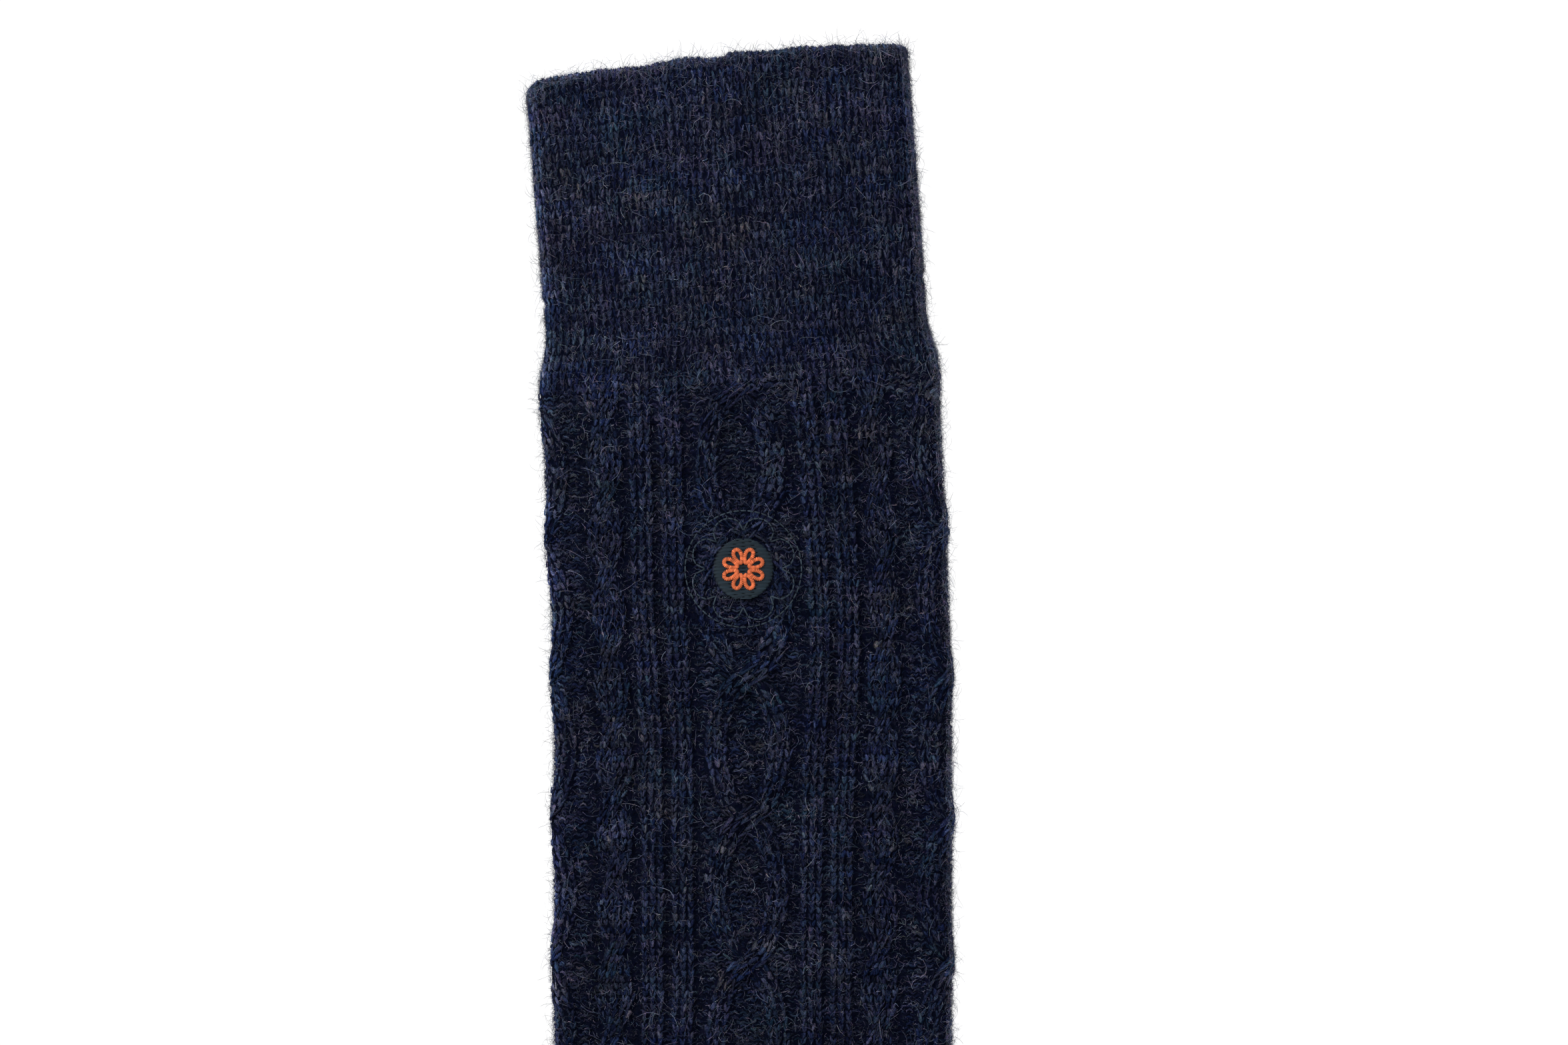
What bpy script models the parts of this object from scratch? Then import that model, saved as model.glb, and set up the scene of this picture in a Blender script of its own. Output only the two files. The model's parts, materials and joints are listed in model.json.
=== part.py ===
"""A cable knit sock, lying flat: one knitted tube with a mouth, a heel and a closed toe.

The sock lies on the plane z = 0 in metres, with its mouth towards +Y and its toe towards -X.
The origin is on the underside, below the middle of the cabled leg. The tube's front edge, which
runs down to the instep, is on the -X side, and its back edge, which runs down to the heel, on +X.
"""

import math
from collections import namedtuple

import bmesh
import bpy
from mathutils import Vector

# The tube, laid flat: widths across the two fold edges, and lengths along its centre line.
CUFF_WIDTH = 0.0860
LEG_WIDTH = 0.0905
FOOT_WIDTH = 0.0830
CUFF_DEPTH = 0.0710
LEG_LENGTH = 0.1550
FOOT_LENGTH = 0.0920
TOE_LENGTH = 0.0420

# The ankle: the fold of the instep, the angle from leg to foot, and the heel's bulge past the leg.
INSTEP_RADIUS = 0.0230
ANKLE_TURN = math.radians(75)
HEEL_BULGE = 0.0080

# The knitted wall, the hollow between the two layers, and the gap between neighbouring pieces.
WALL = 0.0024
HOLLOW_AT_EDGE = 0.0036
CROWN = 0.0036
GAP = 0.0003

# The cuff leans off the leg's line. Its hem is turned in, so the cuff is thicker down to the
# hem's line, and its rim is rounded. Below the hem it widens to the leg at the waist.
CUFF_LEAN = 0.0083
LEAN_LENGTH = 0.1500
LEAN_POWER = 1.5
HEM_DEPTH = 0.0507
HEM_STEP = 0.0005
RIM_ROUND = 0.0008
WAIST_LENGTH = 0.0120

# The mouth's edge bows up in the middle, slants up towards the back and drops at its corners.
MOUTH_BOW = 0.0016
MOUTH_SLANT = 0.0016
CORNER_DROP = 0.0018
CORNER_SHARE = 0.16

# The knitting chart, in wales (columns of stitches) from the middle of a cable panel outwards.
# A sunk wale parts neighbouring bands, and each band counts half of it.
PANEL_HALF_WALES = 6.5
RIB_WALES = 8.0
HALF_TROUGH_WALES = 0.5
ROPE_WALES = 5.0
SIDE_HALF_WALES = 7.5

# The relief: how far each band stands out of the purl ground, and how each step slopes.
RIB_HEIGHT = 0.0009
RIB_GROOVE = 0.0004
ROPE_HEIGHT = 0.0009
ROPE_TWIST = 0.30
ROPE_PITCH = 0.0173
STRAND_HEIGHT = 0.0014
SHOULDER_SHARE = 0.5
STEP_WALES = 0.7
RELIEF_START = 0.0060

# The chain cable: two strands that part into ovals and close again.
OVAL_LENGTH = 0.0321
FIRST_OVAL = 0.0195
STRAND_HALF_WALES = 1.35
OVAL_HALF_WALES = 4.4
OVAL_ROUNDNESS = 0.75
PANEL_SHIFT = -0.0015

# The embroidered emblem: a round ground and a motif, on a seat pressed flat in the cable panel.
EMBLEM_DISTANCE = 0.0429
PATCH_DIAMETER = 0.0138
PATCH_THICKNESS = 0.0008
MOTIF_DIAMETER = 0.0102
MOTIF_THICKNESS = 0.0005
MOTIF_PETALS = 8
MOTIF_WAIST = 0.42
SEAT_HEIGHT = 0.0003
SEAT_MARGIN = 0.0018
SEAT_SLOPE = 0.0030

# The closed toe: its linked seam is a share of the foot's width, it rounds in towards the seam,
# late along its length at a high TOE_LATENESS, and it thins there.
TOE_SEAM_SHARE = 0.45
TOE_LATENESS = 2.4
TOE_ROUNDNESS = 0.6
TOE_THINNING = 0.45

# How finely the faceted solids follow the curves.
ROWS_PER_OVAL = 8
STRAIGHT_STEPS = 4
FOLD_STEPS = 4
HEEL_STEPS = 12
FOOT_STEPS = 5
LINING_STEPS = 6
MOTIF_STEPS_PER_PETAL = 8

# Values worked out from the sizes above.
EDGE_RADIUS = WALL + HOLLOW_AT_EDGE / 2
LEG_TOP = LEG_LENGTH / 2
MOUTH_Y = LEG_TOP + CUFF_DEPTH
SEAM_WALES = PANEL_HALF_WALES + RIB_WALES
RIB_MIDDLE_WALES = PANEL_HALF_WALES + RIB_WALES / 2
ROPE_START_WALES = SEAM_WALES + HALF_TROUGH_WALES
ROPE_END_WALES = ROPE_START_WALES + ROPE_WALES
SIDE_PANEL_WALES = ROPE_END_WALES + HALF_TROUGH_WALES
QUARTER_WALES = SIDE_PANEL_WALES + SIDE_HALF_WALES
RING_WALES = 4 * QUARTER_WALES

# One section of the flattened tube: its middle, the direction across it and its half width.
Station = namedtuple("Station", "middle across half_width")

# One column of the leg's faces: its place in the chart, in wales, how far it follows the strand's
# sway, the height of its band, how far it follows the rope's twist, and whether the plain inner
# face has a column there too.
Column = namedtuple("Column", "wale sway height twist inner")

PANEL_COLUMNS = (
    Column(0.0, 0, 0.0, 0, True),
    Column(-STRAND_HALF_WALES, 1, 0.0, 0, False),
    Column(-STRAND_HALF_WALES * SHOULDER_SHARE, 1, STRAND_HEIGHT, 0, False),
    Column(STRAND_HALF_WALES * SHOULDER_SHARE, 1, STRAND_HEIGHT, 0, False),
    Column(STRAND_HALF_WALES, 1, 0.0, 0, False),
)
BAND_COLUMNS = (
    Column(PANEL_HALF_WALES, 0, 0.0, 0, True),
    Column(PANEL_HALF_WALES + STEP_WALES, 0, RIB_HEIGHT, 0, False),
    Column(RIB_MIDDLE_WALES - STEP_WALES, 0, RIB_HEIGHT, 0, False),
    Column(RIB_MIDDLE_WALES, 0, RIB_HEIGHT - RIB_GROOVE, 0, True),
    Column(RIB_MIDDLE_WALES + STEP_WALES, 0, RIB_HEIGHT, 0, False),
    Column(SEAM_WALES - STEP_WALES, 0, RIB_HEIGHT, 0, False),
    Column(SEAM_WALES, 0, 0.0, 0, True),
    Column(ROPE_START_WALES + STEP_WALES, 0, ROPE_HEIGHT, 1, False),
    Column(ROPE_END_WALES - STEP_WALES, 0, ROPE_HEIGHT, -1, False),
    Column(SIDE_PANEL_WALES, 0, 0.0, 0, True),
)
FLAT_COLUMNS = (
    Column(PANEL_HALF_WALES, 0, 0.0, 0, True),
    Column(RIB_MIDDLE_WALES, 0, 0.0, 0, True),
    Column(SEAM_WALES, 0, 0.0, 0, True),
    Column(SIDE_PANEL_WALES, 0, 0.0, 0, True),
)

# The heel: at each share of the ankle's turn, how far between the leg's and the foot's width the
# tube is, and how much of the heel's bulge it has.
HeelRow = namedtuple("HeelRow", "turn towards_foot bulge")
HEEL_ROWS = (
    HeelRow(0.00, 0.00, 0.00),
    HeelRow(0.25, 0.05, 0.55),
    HeelRow(0.50, 0.20, 1.00),
    HeelRow(0.75, 0.60, 0.85),
    HeelRow(1.00, 1.00, 0.00),
)
TOE_SHARES = (0.0, 0.3, 0.55, 0.75, 0.88, 0.96, 1.0)


def smoothstep(value):
    value = min(1.0, max(0.0, value))
    return value * value * (3 - 2 * value)


def lean_at(distance):
    """How far the centre line is off the leg's line at a distance below the mouth, and its slope."""
    left = max(0.0, 1 - distance / LEAN_LENGTH)
    slope = CUFF_LEAN * LEAN_POWER / LEAN_LENGTH * left ** (LEAN_POWER - 1)
    return -CUFF_LEAN * left**LEAN_POWER, slope


def leg_station(distance):
    """The section of cuff or leg at a distance below the mouth."""
    offset, slope = lean_at(distance)
    across = Vector((1.0, slope)).normalized()
    waist = smoothstep((distance - CUFF_DEPTH + WAIST_LENGTH) / WAIST_LENGTH)
    width = CUFF_WIDTH + (LEG_WIDTH - CUFF_WIDTH) * waist
    return Station(Vector((offset, MOUTH_Y - distance)), across, width / 2)


def heel_value(turn, column):
    """A column of the heel's table at a share of the turn, read between its rows."""
    for low, high in zip(HEEL_ROWS, HEEL_ROWS[1:]):
        if turn <= high.turn:
            share = (turn - low.turn) / (high.turn - low.turn)
            return low[column] + (high[column] - low[column]) * share
    return HEEL_ROWS[-1][column]


def ankle_pivot():
    """The point that the sections of the ankle fan around, in front of the instep's fold."""
    return Vector((-LEG_WIDTH / 2 - INSTEP_RADIUS, -LEG_TOP))


def heel_station(turn):
    """The section at a share of the ankle's turn, from the leg at 0 to the foot at 1."""
    angle = -ANKLE_TURN * turn
    across = Vector((math.cos(angle), math.sin(angle)))
    width = LEG_WIDTH + (FOOT_WIDTH - LEG_WIDTH) * heel_value(turn, 1)
    width += HEEL_BULGE * heel_value(turn, 2)
    return Station(ankle_pivot() + across * (INSTEP_RADIUS + width / 2), across, width / 2)


def foot_station(distance):
    """The section of the foot at a distance past the ankle, towards the toe."""
    start = heel_station(1.0)
    forward = Vector((start.across.y, -start.across.x))
    return Station(start.middle + forward * distance, start.across, FOOT_WIDTH / 2)


def straight_half(station, thin=1.0):
    """Half of the flattened part of a section, from its middle to where the fold begins."""
    return station.half_width - EDGE_RADIUS * thin


def perimeter_of(station, thin=1.0):
    """The length of a section's outline, both layers and both folds."""
    return 4 * straight_half(station, thin) + 2 * math.pi * EDGE_RADIUS * thin


def section_point(share, station, inset=0.0, bump=0.0, thin=1.0):
    """A point of the flattened tube's section. share runs from the middle of the upper layer round
    the back edge, the lower layer and the front edge. inset goes into the wall and bump out of it,
    where the lower layer, pressed flat on the surface, shows none of the bump."""
    radius = EDGE_RADIUS * thin
    straight = straight_half(station, thin)
    side = 1 if share <= 0.5 else -1
    along = min(share, 1 - share) * perimeter_of(station, thin)
    fold = math.pi * radius
    if along < straight:
        x = along
        z = 2 * radius + CROWN * thin * (1 + math.cos(math.pi * along / straight)) / 2
        normal = (0.0, 1.0)
    elif along < straight + fold:
        angle = math.pi / 2 - (along - straight) / radius
        normal = (math.cos(angle), math.sin(angle))
        x = straight + radius * normal[0]
        z = radius + radius * normal[1]
    else:
        x = 2 * straight + fold - along
        z = 0.0
        normal = (0.0, -1.0)
    out = bump * min(1.0, 1 + normal[1]) - inset
    x += out * normal[0]
    z += out * normal[1]
    place = station.middle + station.across * (side * x)
    return Vector((place.x, place.y, z))


def plain_shares(station, thin=1.0):
    """The columns of a plain section: even steps on both layers and round both fold edges."""
    flat = straight_half(station, thin) / perimeter_of(station, thin)
    quarter = [flat * i / STRAIGHT_STEPS for i in range(STRAIGHT_STEPS)]
    fold = [flat + (0.5 - 2 * flat) * i / FOLD_STEPS for i in range(FOLD_STEPS + 1)]
    half = quarter + fold + [0.5 - share for share in reversed(quarter)]
    return half + [1 - share for share in reversed(half[1:-1])]


def strand_sway(distance):
    """How far a strand is from its panel's middle at a distance below the cuff, in wales."""
    phase = math.cos(math.pi * (distance - FIRST_OVAL) / OVAL_LENGTH)
    closed = STRAND_HALF_WALES + STEP_WALES / 2
    return closed + (OVAL_HALF_WALES - closed) * abs(phase) ** OVAL_ROUNDNESS


def mirrored(columns, total):
    """The same columns in reverse order, counted back from a total number of wales."""
    return [
        Column(total - c.wale, -c.sway, c.height, c.twist, c.inner) for c in reversed(columns)
    ]


def quarter_columns(bands):
    """Columns from the middle of one cable panel to the middle of the next."""
    near = list(PANEL_COLUMNS)
    return near + list(bands) + mirrored(PANEL_COLUMNS, QUARTER_WALES)


def leg_columns():
    """The columns all round the leg: full relief on the upper layer, and on the pressed underside
    only the side panels, which reach round the fold edges."""
    upper = quarter_columns(BAND_COLUMNS)
    flat = quarter_columns(FLAT_COLUMNS)[len(PANEL_COLUMNS) :]
    lower = [PANEL_COLUMNS[0], *flat]
    back = upper + mirrored(lower[:-1], 2 * QUARTER_WALES)
    return back + mirrored(back[1:-1], RING_WALES)


def emblem_press(across, distance):
    """1 on the emblem's flat seat and 0 in the open cable panel, at a place on the leg."""
    away = math.hypot(across, distance - EMBLEM_DISTANCE)
    seat = PATCH_DIAMETER / 2 + SEAT_MARGIN
    return 1 - smoothstep((away - seat) / SEAT_SLOPE)


def wale_share(wale, station):
    """Where a wale of the chart lies, as a share of the way round the section."""
    return (wale / RING_WALES + PANEL_SHIFT / perimeter_of(station)) % 1.0


def leg_ring(distance, columns):
    """The outer points of one row of the leg, at a distance below the cuff."""
    station = leg_station(CUFF_DEPTH + distance)
    pitch = perimeter_of(station) / RING_WALES
    ramp = smoothstep(distance / RELIEF_START)
    sway = strand_sway(distance)
    twist = ROPE_TWIST * math.cos(2 * math.pi * distance / ROPE_PITCH)
    points = []
    for column in columns:
        wale = column.wale + column.sway * sway
        across = min(wale, RING_WALES - wale) * pitch
        press = emblem_press(across, distance)
        height = column.height * (1 + column.twist * twist)
        bump = height * ramp * (1 - press) + SEAT_HEIGHT * press
        points.append(section_point(wale_share(wale, station), station, bump=bump))
    return points


def lining_ring(distance, columns):
    """The plain inner points of one row of the leg, one for each column that the lining shares."""
    station = leg_station(CUFF_DEPTH + distance)
    shares = [wale_share(c.wale, station) for c in columns if c.inner]
    return [section_point(share, station, inset=WALL) for share in shares]


def bridge_rows(bm, rows, turned=False):
    """Quads between closed rows of vertices."""
    for low, high in zip(rows, rows[1:]):
        for i in range(len(low)):
            j = (i + 1) % len(low)
            face = (low[i], low[j], high[j], high[i])
            bm.faces.new(tuple(reversed(face)) if turned else face)


def close_rim(bm, outer, inner, carries):
    """Faces from an outer row to an inner row with fewer vertices. carries says which outer
    vertices have an inner one beside them."""
    beside = [i for i, shared in enumerate(carries) if shared]
    for n, first in enumerate(beside):
        last = beside[(n + 1) % len(beside)]
        steps = (last - first) % len(outer)
        span = [outer[(first + k) % len(outer)] for k in range(steps + 1)]
        bm.faces.new([*span, inner[(n + 1) % len(inner)], inner[n]])


def finish_object(name, bm, material):
    """One named object of the sock from a bmesh, with its faces turned outwards."""
    bmesh.ops.recalc_face_normals(bm, faces=bm.faces)
    mesh = bpy.data.meshes.new(name)
    bm.to_mesh(mesh)
    bm.free()
    mesh.shade_smooth()
    mesh.materials.append(material)
    made = bpy.data.objects.new(name, mesh)
    pieces.objects.link(made)
    return made


def tube(name, outer_rows, inner_rows, carries, material, closed_end=False):
    """A hollow knitted tube between an outer and an inner surface, open or closed at its end."""
    bm = bmesh.new()
    outer = [[bm.verts.new(p) for p in row] for row in outer_rows]
    inner = [[bm.verts.new(p) for p in row] for row in inner_rows]
    bridge_rows(bm, outer)
    bridge_rows(bm, inner, turned=True)
    close_rim(bm, outer[0], inner[0], carries)
    if closed_end:
        bm.faces.new(outer[-1])
        bm.faces.new(inner[-1])
    else:
        close_rim(bm, outer[-1], inner[-1], carries)
    return finish_object(name, bm, material)


def patch_shell(name, rows, material):
    """A shell from an open surface. rows are lists of points, None where the surface has no
    point, and the last point of a full row meets its first."""
    bm = bmesh.new()
    grid = [[bm.verts.new(p) if p is not None else None for p in row] for row in rows]
    for low, high in zip(grid, grid[1:]):
        for i in range(len(low)):
            j = (i + 1) % len(low)
            corners = (low[i], low[j], high[j], high[i])
            if None not in corners:
                bm.faces.new(corners)
    bmesh.ops.delete(bm, geom=[v for v in bm.verts if not v.link_faces], context="VERTS")
    made = finish_object(name, bm, material)
    shell = made.modifiers.new("wall", "SOLIDIFY")
    shell.thickness = WALL
    shell.offset = -1
    shell.use_even_offset = True
    return made


def knit_material(name, colour):
    material = bpy.data.materials.new(name)
    material.use_nodes = True
    shader = material.node_tree.nodes["Principled BSDF"]
    shader.inputs["Base Color"].default_value = (*colour, 1.0)
    shader.inputs["Roughness"].default_value = 0.95
    shader.inputs["Metallic"].default_value = 0.0
    return material


def mouth_shaped(point, station, distance):
    """A point of the cuff, moved along the leg to give the mouth's edge its bow and corners."""
    x = (point.xy - station.middle).dot(station.across) / station.half_width
    corner = smoothstep((abs(x) - 1 + CORNER_SHARE) / CORNER_SHARE)
    rise = MOUTH_BOW * (1 - x * x) + MOUTH_SLANT * x - CORNER_DROP * corner
    fade = 1 - distance / CUFF_DEPTH
    return Vector((point.x, point.y + rise * fade * fade, point.z))


def cuff_distances():
    """The rows of the cuff below its mouth: the rounded rim, the hem's line and the waist."""
    hem = [HEM_DEPTH * share for share in (0.1, 0.4, 0.7, 0.95)]
    band = [HEM_DEPTH + (CUFF_DEPTH - HEM_DEPTH) * share for share in (0.1, 0.5, 0.75)]
    return [0.0, RIM_ROUND, *hem, HEM_DEPTH, *band, CUFF_DEPTH - GAP]


def make_cuff(material):
    """The plain-knit band, with a turned hem and a mouth whose rim is rounded inside and out."""
    outer_rows = []
    inner_rows = []
    for distance in cuff_distances():
        station = leg_station(distance)
        shares = plain_shares(station)
        tuck = RIM_ROUND if distance == 0 else 0.0
        hem = HEM_STEP if distance < HEM_DEPTH else 0.0
        outer = [section_point(s, station, inset=tuck, bump=hem) for s in shares]
        inner = [section_point(s, station, inset=WALL - tuck) for s in shares]
        outer_rows.append([mouth_shaped(p, station, distance) for p in outer])
        inner_rows.append([mouth_shaped(p, station, distance) for p in inner])
    return tube("cuff", outer_rows, inner_rows, [True] * len(shares), material)


def leg_distances():
    """The rows of the leg below the cuff, with a short ramp where the relief starts."""
    count = round(LEG_LENGTH / OVAL_LENGTH * ROWS_PER_OVAL)
    even = [LEG_LENGTH * i / count for i in range(count)]
    ramp = [0.0, RELIEF_START / 2]
    return ramp + [d for d in even if d > RELIEF_START] + [LEG_LENGTH - GAP]


def make_leg(material):
    """The cable-knit tube: ribs, rope cables and chain cables in relief, with a plain inside."""
    columns = leg_columns()
    lining = [(LEG_LENGTH - GAP) * i / LINING_STEPS for i in range(LINING_STEPS + 1)]
    return tube(
        "leg",
        [leg_ring(distance, columns) for distance in leg_distances()],
        [lining_ring(distance, columns) for distance in lining],
        [c.inner for c in columns],
        material,
    )


def half_row(turn, back):
    """One row of the ankle's back or front half, kept half a gap clear of the middle line."""
    station = heel_station(turn)
    nudge = GAP / 2 / perimeter_of(station)
    row = []
    for share in plain_shares(station):
        if back and share <= 0.5:
            row.append(section_point(min(max(share, nudge), 0.5 - nudge), station))
        elif not back and (share >= 0.5 or share == 0.0):
            row.append(section_point(min(max(share or 1.0, 0.5 + nudge), 1 - nudge), station))
        else:
            row.append(None)
    return row


def make_heel(material):
    """The heel pocket: the back half of the ankle, over both layers and round the back edge."""
    last = 1 - GAP / (ANKLE_TURN * (INSTEP_RADIUS + LEG_WIDTH / 2))
    rows = [half_row(last * i / HEEL_STEPS, back=True) for i in range(HEEL_STEPS + 1)]
    return patch_shell("heel", rows, material)


def make_foot(material):
    """The instep, which runs on from the front of the leg, and the tube of instep and sole."""
    rows = [half_row(i / HEEL_STEPS, back=False) for i in range(HEEL_STEPS)]
    for i in range(FOOT_STEPS + 1):
        station = foot_station((FOOT_LENGTH - GAP) * i / FOOT_STEPS)
        rows.append([section_point(share, station) for share in plain_shares(station)])
    return patch_shell("foot", rows, material)


def toe_rings(share):
    """The outer and the inner points of one row of the toe, at a share of its length."""
    rest = (1 - share**TOE_LATENESS) ** TOE_ROUNDNESS
    narrow = TOE_SEAM_SHARE + (1 - TOE_SEAM_SHARE) * rest
    thin = 1 - TOE_THINNING * share**TOE_LATENESS
    rings = []
    for inset in (0.0, WALL):
        full = foot_station(FOOT_LENGTH + (TOE_LENGTH - inset) * share)
        station = Station(full.middle, full.across, full.half_width * narrow)
        shares = plain_shares(station, thin)
        rings.append([section_point(s, station, inset=inset, thin=thin) for s in shares])
    return rings


def make_toe(material):
    """The closed toe cap, drawn in to its linked seam."""
    outer_rows, inner_rows = zip(*(toe_rings(share) for share in TOE_SHARES))
    carries = [True] * len(outer_rows[0])
    return tube("toe", outer_rows, inner_rows, carries, material, closed_end=True)


def emblem_place():
    """The middle of the emblem's seat on the upper layer."""
    station = leg_station(CUFF_DEPTH + EMBLEM_DISTANCE)
    return section_point(wale_share(0.0, station), station, bump=SEAT_HEIGHT)


def make_emblem_patch(material):
    """The round embroidered ground, just clear of its seat."""
    bpy.ops.mesh.primitive_cylinder_add(
        vertices=32, radius=PATCH_DIAMETER / 2, depth=PATCH_THICKNESS
    )
    patch = bpy.context.active_object
    patch.name = "emblem_patch"
    patch.location = emblem_place() + Vector((0, 0, GAP + PATCH_THICKNESS / 2))
    patch.data.materials.append(material)
    bpy.context.collection.objects.unlink(patch)
    pieces.objects.link(patch)
    return patch


def make_emblem_motif(material):
    """The stitched flower on the ground: one flat outline with petals worked out by a formula."""
    curve = bpy.data.curves.new("emblem_motif", "CURVE")
    curve.dimensions = "2D"
    curve.fill_mode = "BOTH"
    curve.extrude = MOTIF_THICKNESS / 2
    curve.materials.append(material)
    steps = MOTIF_PETALS * MOTIF_STEPS_PER_PETAL
    spline = curve.splines.new("POLY")
    spline.points.add(steps - 1)
    spline.use_cyclic_u = True
    for i, point in enumerate(spline.points):
        angle = 2 * math.pi * i / steps
        petal = abs(math.cos(angle * MOTIF_PETALS / 2))
        radius = MOTIF_DIAMETER / 2 * (MOTIF_WAIST + (1 - MOTIF_WAIST) * petal)
        point.co = (radius * math.cos(angle), radius * math.sin(angle), 0.0, 1.0)
    motif = bpy.data.objects.new("emblem_motif", curve)
    motif.location = emblem_place()
    motif.location.z += GAP + PATCH_THICKNESS + GAP + MOTIF_THICKNESS / 2
    pieces.objects.link(motif)
    return motif


for old in list(bpy.data.objects):
    bpy.data.objects.remove(old)

pieces = bpy.data.collections.new("cable_knit_sock")
bpy.context.scene.collection.children.link(pieces)

navy_wool = knit_material("navy_wool", (0.012, 0.017, 0.036))
teal_thread = knit_material("teal_thread", (0.020, 0.040, 0.055))
orange_thread = knit_material("orange_thread", (0.75, 0.16, 0.045))

make_cuff(navy_wool)
make_leg(navy_wool)
make_heel(navy_wool)
make_foot(navy_wool)
make_toe(navy_wool)
make_emblem_patch(teal_thread)
make_emblem_motif(orange_thread)
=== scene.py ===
# %% [markdown]
# # A cable knit sock, lying flat
# This notebook gives a thick woollen boot sock its final look. The sock lies on a white table and
# is seen from straight above. Its leg carries chain cables between ribs, its cuff is plain, and a
# small round embroidered emblem sits on the leg. The solid model already has the sock's form and
# its bands of relief, so this script adds what makes it a knitted thing: some thirty thousand
# stitches, the mixed colours of the yarn, the loose fibres and the embroidery thread.
# Sizes are in metres, in the frame of the solid model. Only the grains' shapes are in finer units.

# %% Start from the solid model
import json
import math
from functools import partial

import bpy
import numpy as np
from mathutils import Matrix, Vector

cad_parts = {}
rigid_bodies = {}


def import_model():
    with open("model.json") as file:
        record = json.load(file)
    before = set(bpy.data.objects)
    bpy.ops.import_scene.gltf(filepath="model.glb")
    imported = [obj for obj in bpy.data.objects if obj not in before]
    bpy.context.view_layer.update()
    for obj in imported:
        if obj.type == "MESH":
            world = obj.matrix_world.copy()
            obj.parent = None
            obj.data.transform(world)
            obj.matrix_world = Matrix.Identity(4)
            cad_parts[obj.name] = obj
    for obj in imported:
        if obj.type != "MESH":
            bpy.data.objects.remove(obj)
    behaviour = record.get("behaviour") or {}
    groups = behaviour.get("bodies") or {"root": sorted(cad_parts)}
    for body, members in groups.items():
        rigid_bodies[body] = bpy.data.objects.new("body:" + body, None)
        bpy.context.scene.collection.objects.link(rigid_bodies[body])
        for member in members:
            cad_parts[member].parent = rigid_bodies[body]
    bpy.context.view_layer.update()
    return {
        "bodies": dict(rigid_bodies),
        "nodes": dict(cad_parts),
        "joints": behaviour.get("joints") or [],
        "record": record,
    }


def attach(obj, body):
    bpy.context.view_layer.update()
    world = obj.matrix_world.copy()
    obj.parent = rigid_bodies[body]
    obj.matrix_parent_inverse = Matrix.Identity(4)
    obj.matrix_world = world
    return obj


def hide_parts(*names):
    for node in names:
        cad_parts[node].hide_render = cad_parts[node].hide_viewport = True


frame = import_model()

print("nodes:", sorted(frame))

# %% [markdown]
# ## The sock's sizes
# A knitted sock is one tube. Its size is counted in wales, which are the columns of stitches, and
# in courses, which are the rows. This tube has 112 wales all round, so each of its two layers
# shows 56 when it lies flat. The sizes here are those of the solid model, so that each stitch
# lands on the wall that it belongs to.

# %% Sizes of the tube
WALES = 112
COURSE = 0.00155
CUFF_COURSE = 0.00182
CUFF_WIDTH = 0.0860
LEG_WIDTH = 0.0905
FOOT_WIDTH = 0.0830
CUFF_DEPTH = 0.0710
LEG_LENGTH = 0.1550
FOOT_LENGTH = 0.0920
TOE_LENGTH = 0.0420
WALL = 0.0024
EDGE_RADIUS = 0.0042
CROWN = 0.0036
LEG_TOP = LEG_LENGTH / 2
LEG_END = CUFF_DEPTH + LEG_LENGTH
TOE_END = FOOT_LENGTH + TOE_LENGTH
MOUTH_Y = LEG_TOP + CUFF_DEPTH
PANEL_SHIFT = -0.0015


def smoothstep(value):
    """0 below 0, 1 above 1 and an even slope between them."""
    value = np.clip(value, 0.0, 1.0)
    return value * value * (3 - 2 * value)


def soft_noise(x, y, size, seed):
    """Smooth random values from -1 to 1 over a plane, with features of about one size."""
    table = np.random.default_rng(seed).uniform(-1, 1, (61, 61))
    x = np.asarray(x) / size
    y = np.asarray(y) / size + 0 * x
    low_x = np.floor(x).astype(int)
    low_y = np.floor(y).astype(int)
    share_x = smoothstep(x - low_x)
    share_y = smoothstep(y - low_y)
    value = np.zeros_like(x)
    for step_x, weight_x in ((0, 1 - share_x), (1, share_x)):
        for step_y, weight_y in ((0, 1 - share_y), (1, share_y)):
            value += weight_x * weight_y * table[(low_x + step_x) % 61, (low_y + step_y) % 61]
    return value


# %% [markdown]
# ## How the tube lies
# A worn and washed sock never lies straight: the cuff leans a little, and below the leg the tube
# turns 75 degrees for the foot, with the heel bulging out at the back. The tube's line gives the
# middle of each section, the direction across it and its half width. The ankle's sections fan
# out around a point in front of the instep, as the courses of a real heel do.

# %% The line of the tube, from the mouth to the toe
CUFF_LEAN = 0.0083
LEAN_LENGTH = 0.1500
LEAN_POWER = 1.5
WAIST_LENGTH = 0.0120
INSTEP_RADIUS = 0.0230
ANKLE_TURN = math.radians(75)
HEEL_TURNS = (0.0, 0.25, 0.5, 0.75, 1.0)
HEEL_TOWARDS_FOOT = (0.0, 0.05, 0.2, 0.6, 1.0)
HEEL_BULGES = (0.0, 0.0044, 0.0080, 0.0068, 0.0)
TOE_SEAM_SHARE = 0.45
TOE_LATENESS = 2.4
TOE_ROUNDNESS = 0.6
TOE_THINNING = 0.45


def leg_line(distance):
    """Sections of the cuff and the leg, at distances below the mouth."""
    left = np.maximum(0.0, 1 - distance / LEAN_LENGTH)
    offset = -CUFF_LEAN * left**LEAN_POWER
    slope = CUFF_LEAN * LEAN_POWER / LEAN_LENGTH * np.sqrt(left)
    size = np.sqrt(1 + slope**2)
    waist = smoothstep((distance - CUFF_DEPTH + WAIST_LENGTH) / WAIST_LENGTH)
    half = (CUFF_WIDTH + (LEG_WIDTH - CUFF_WIDTH) * waist) / 2
    return offset, MOUTH_Y - distance, 1 / size, slope / size, half, np.ones_like(half)


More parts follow.
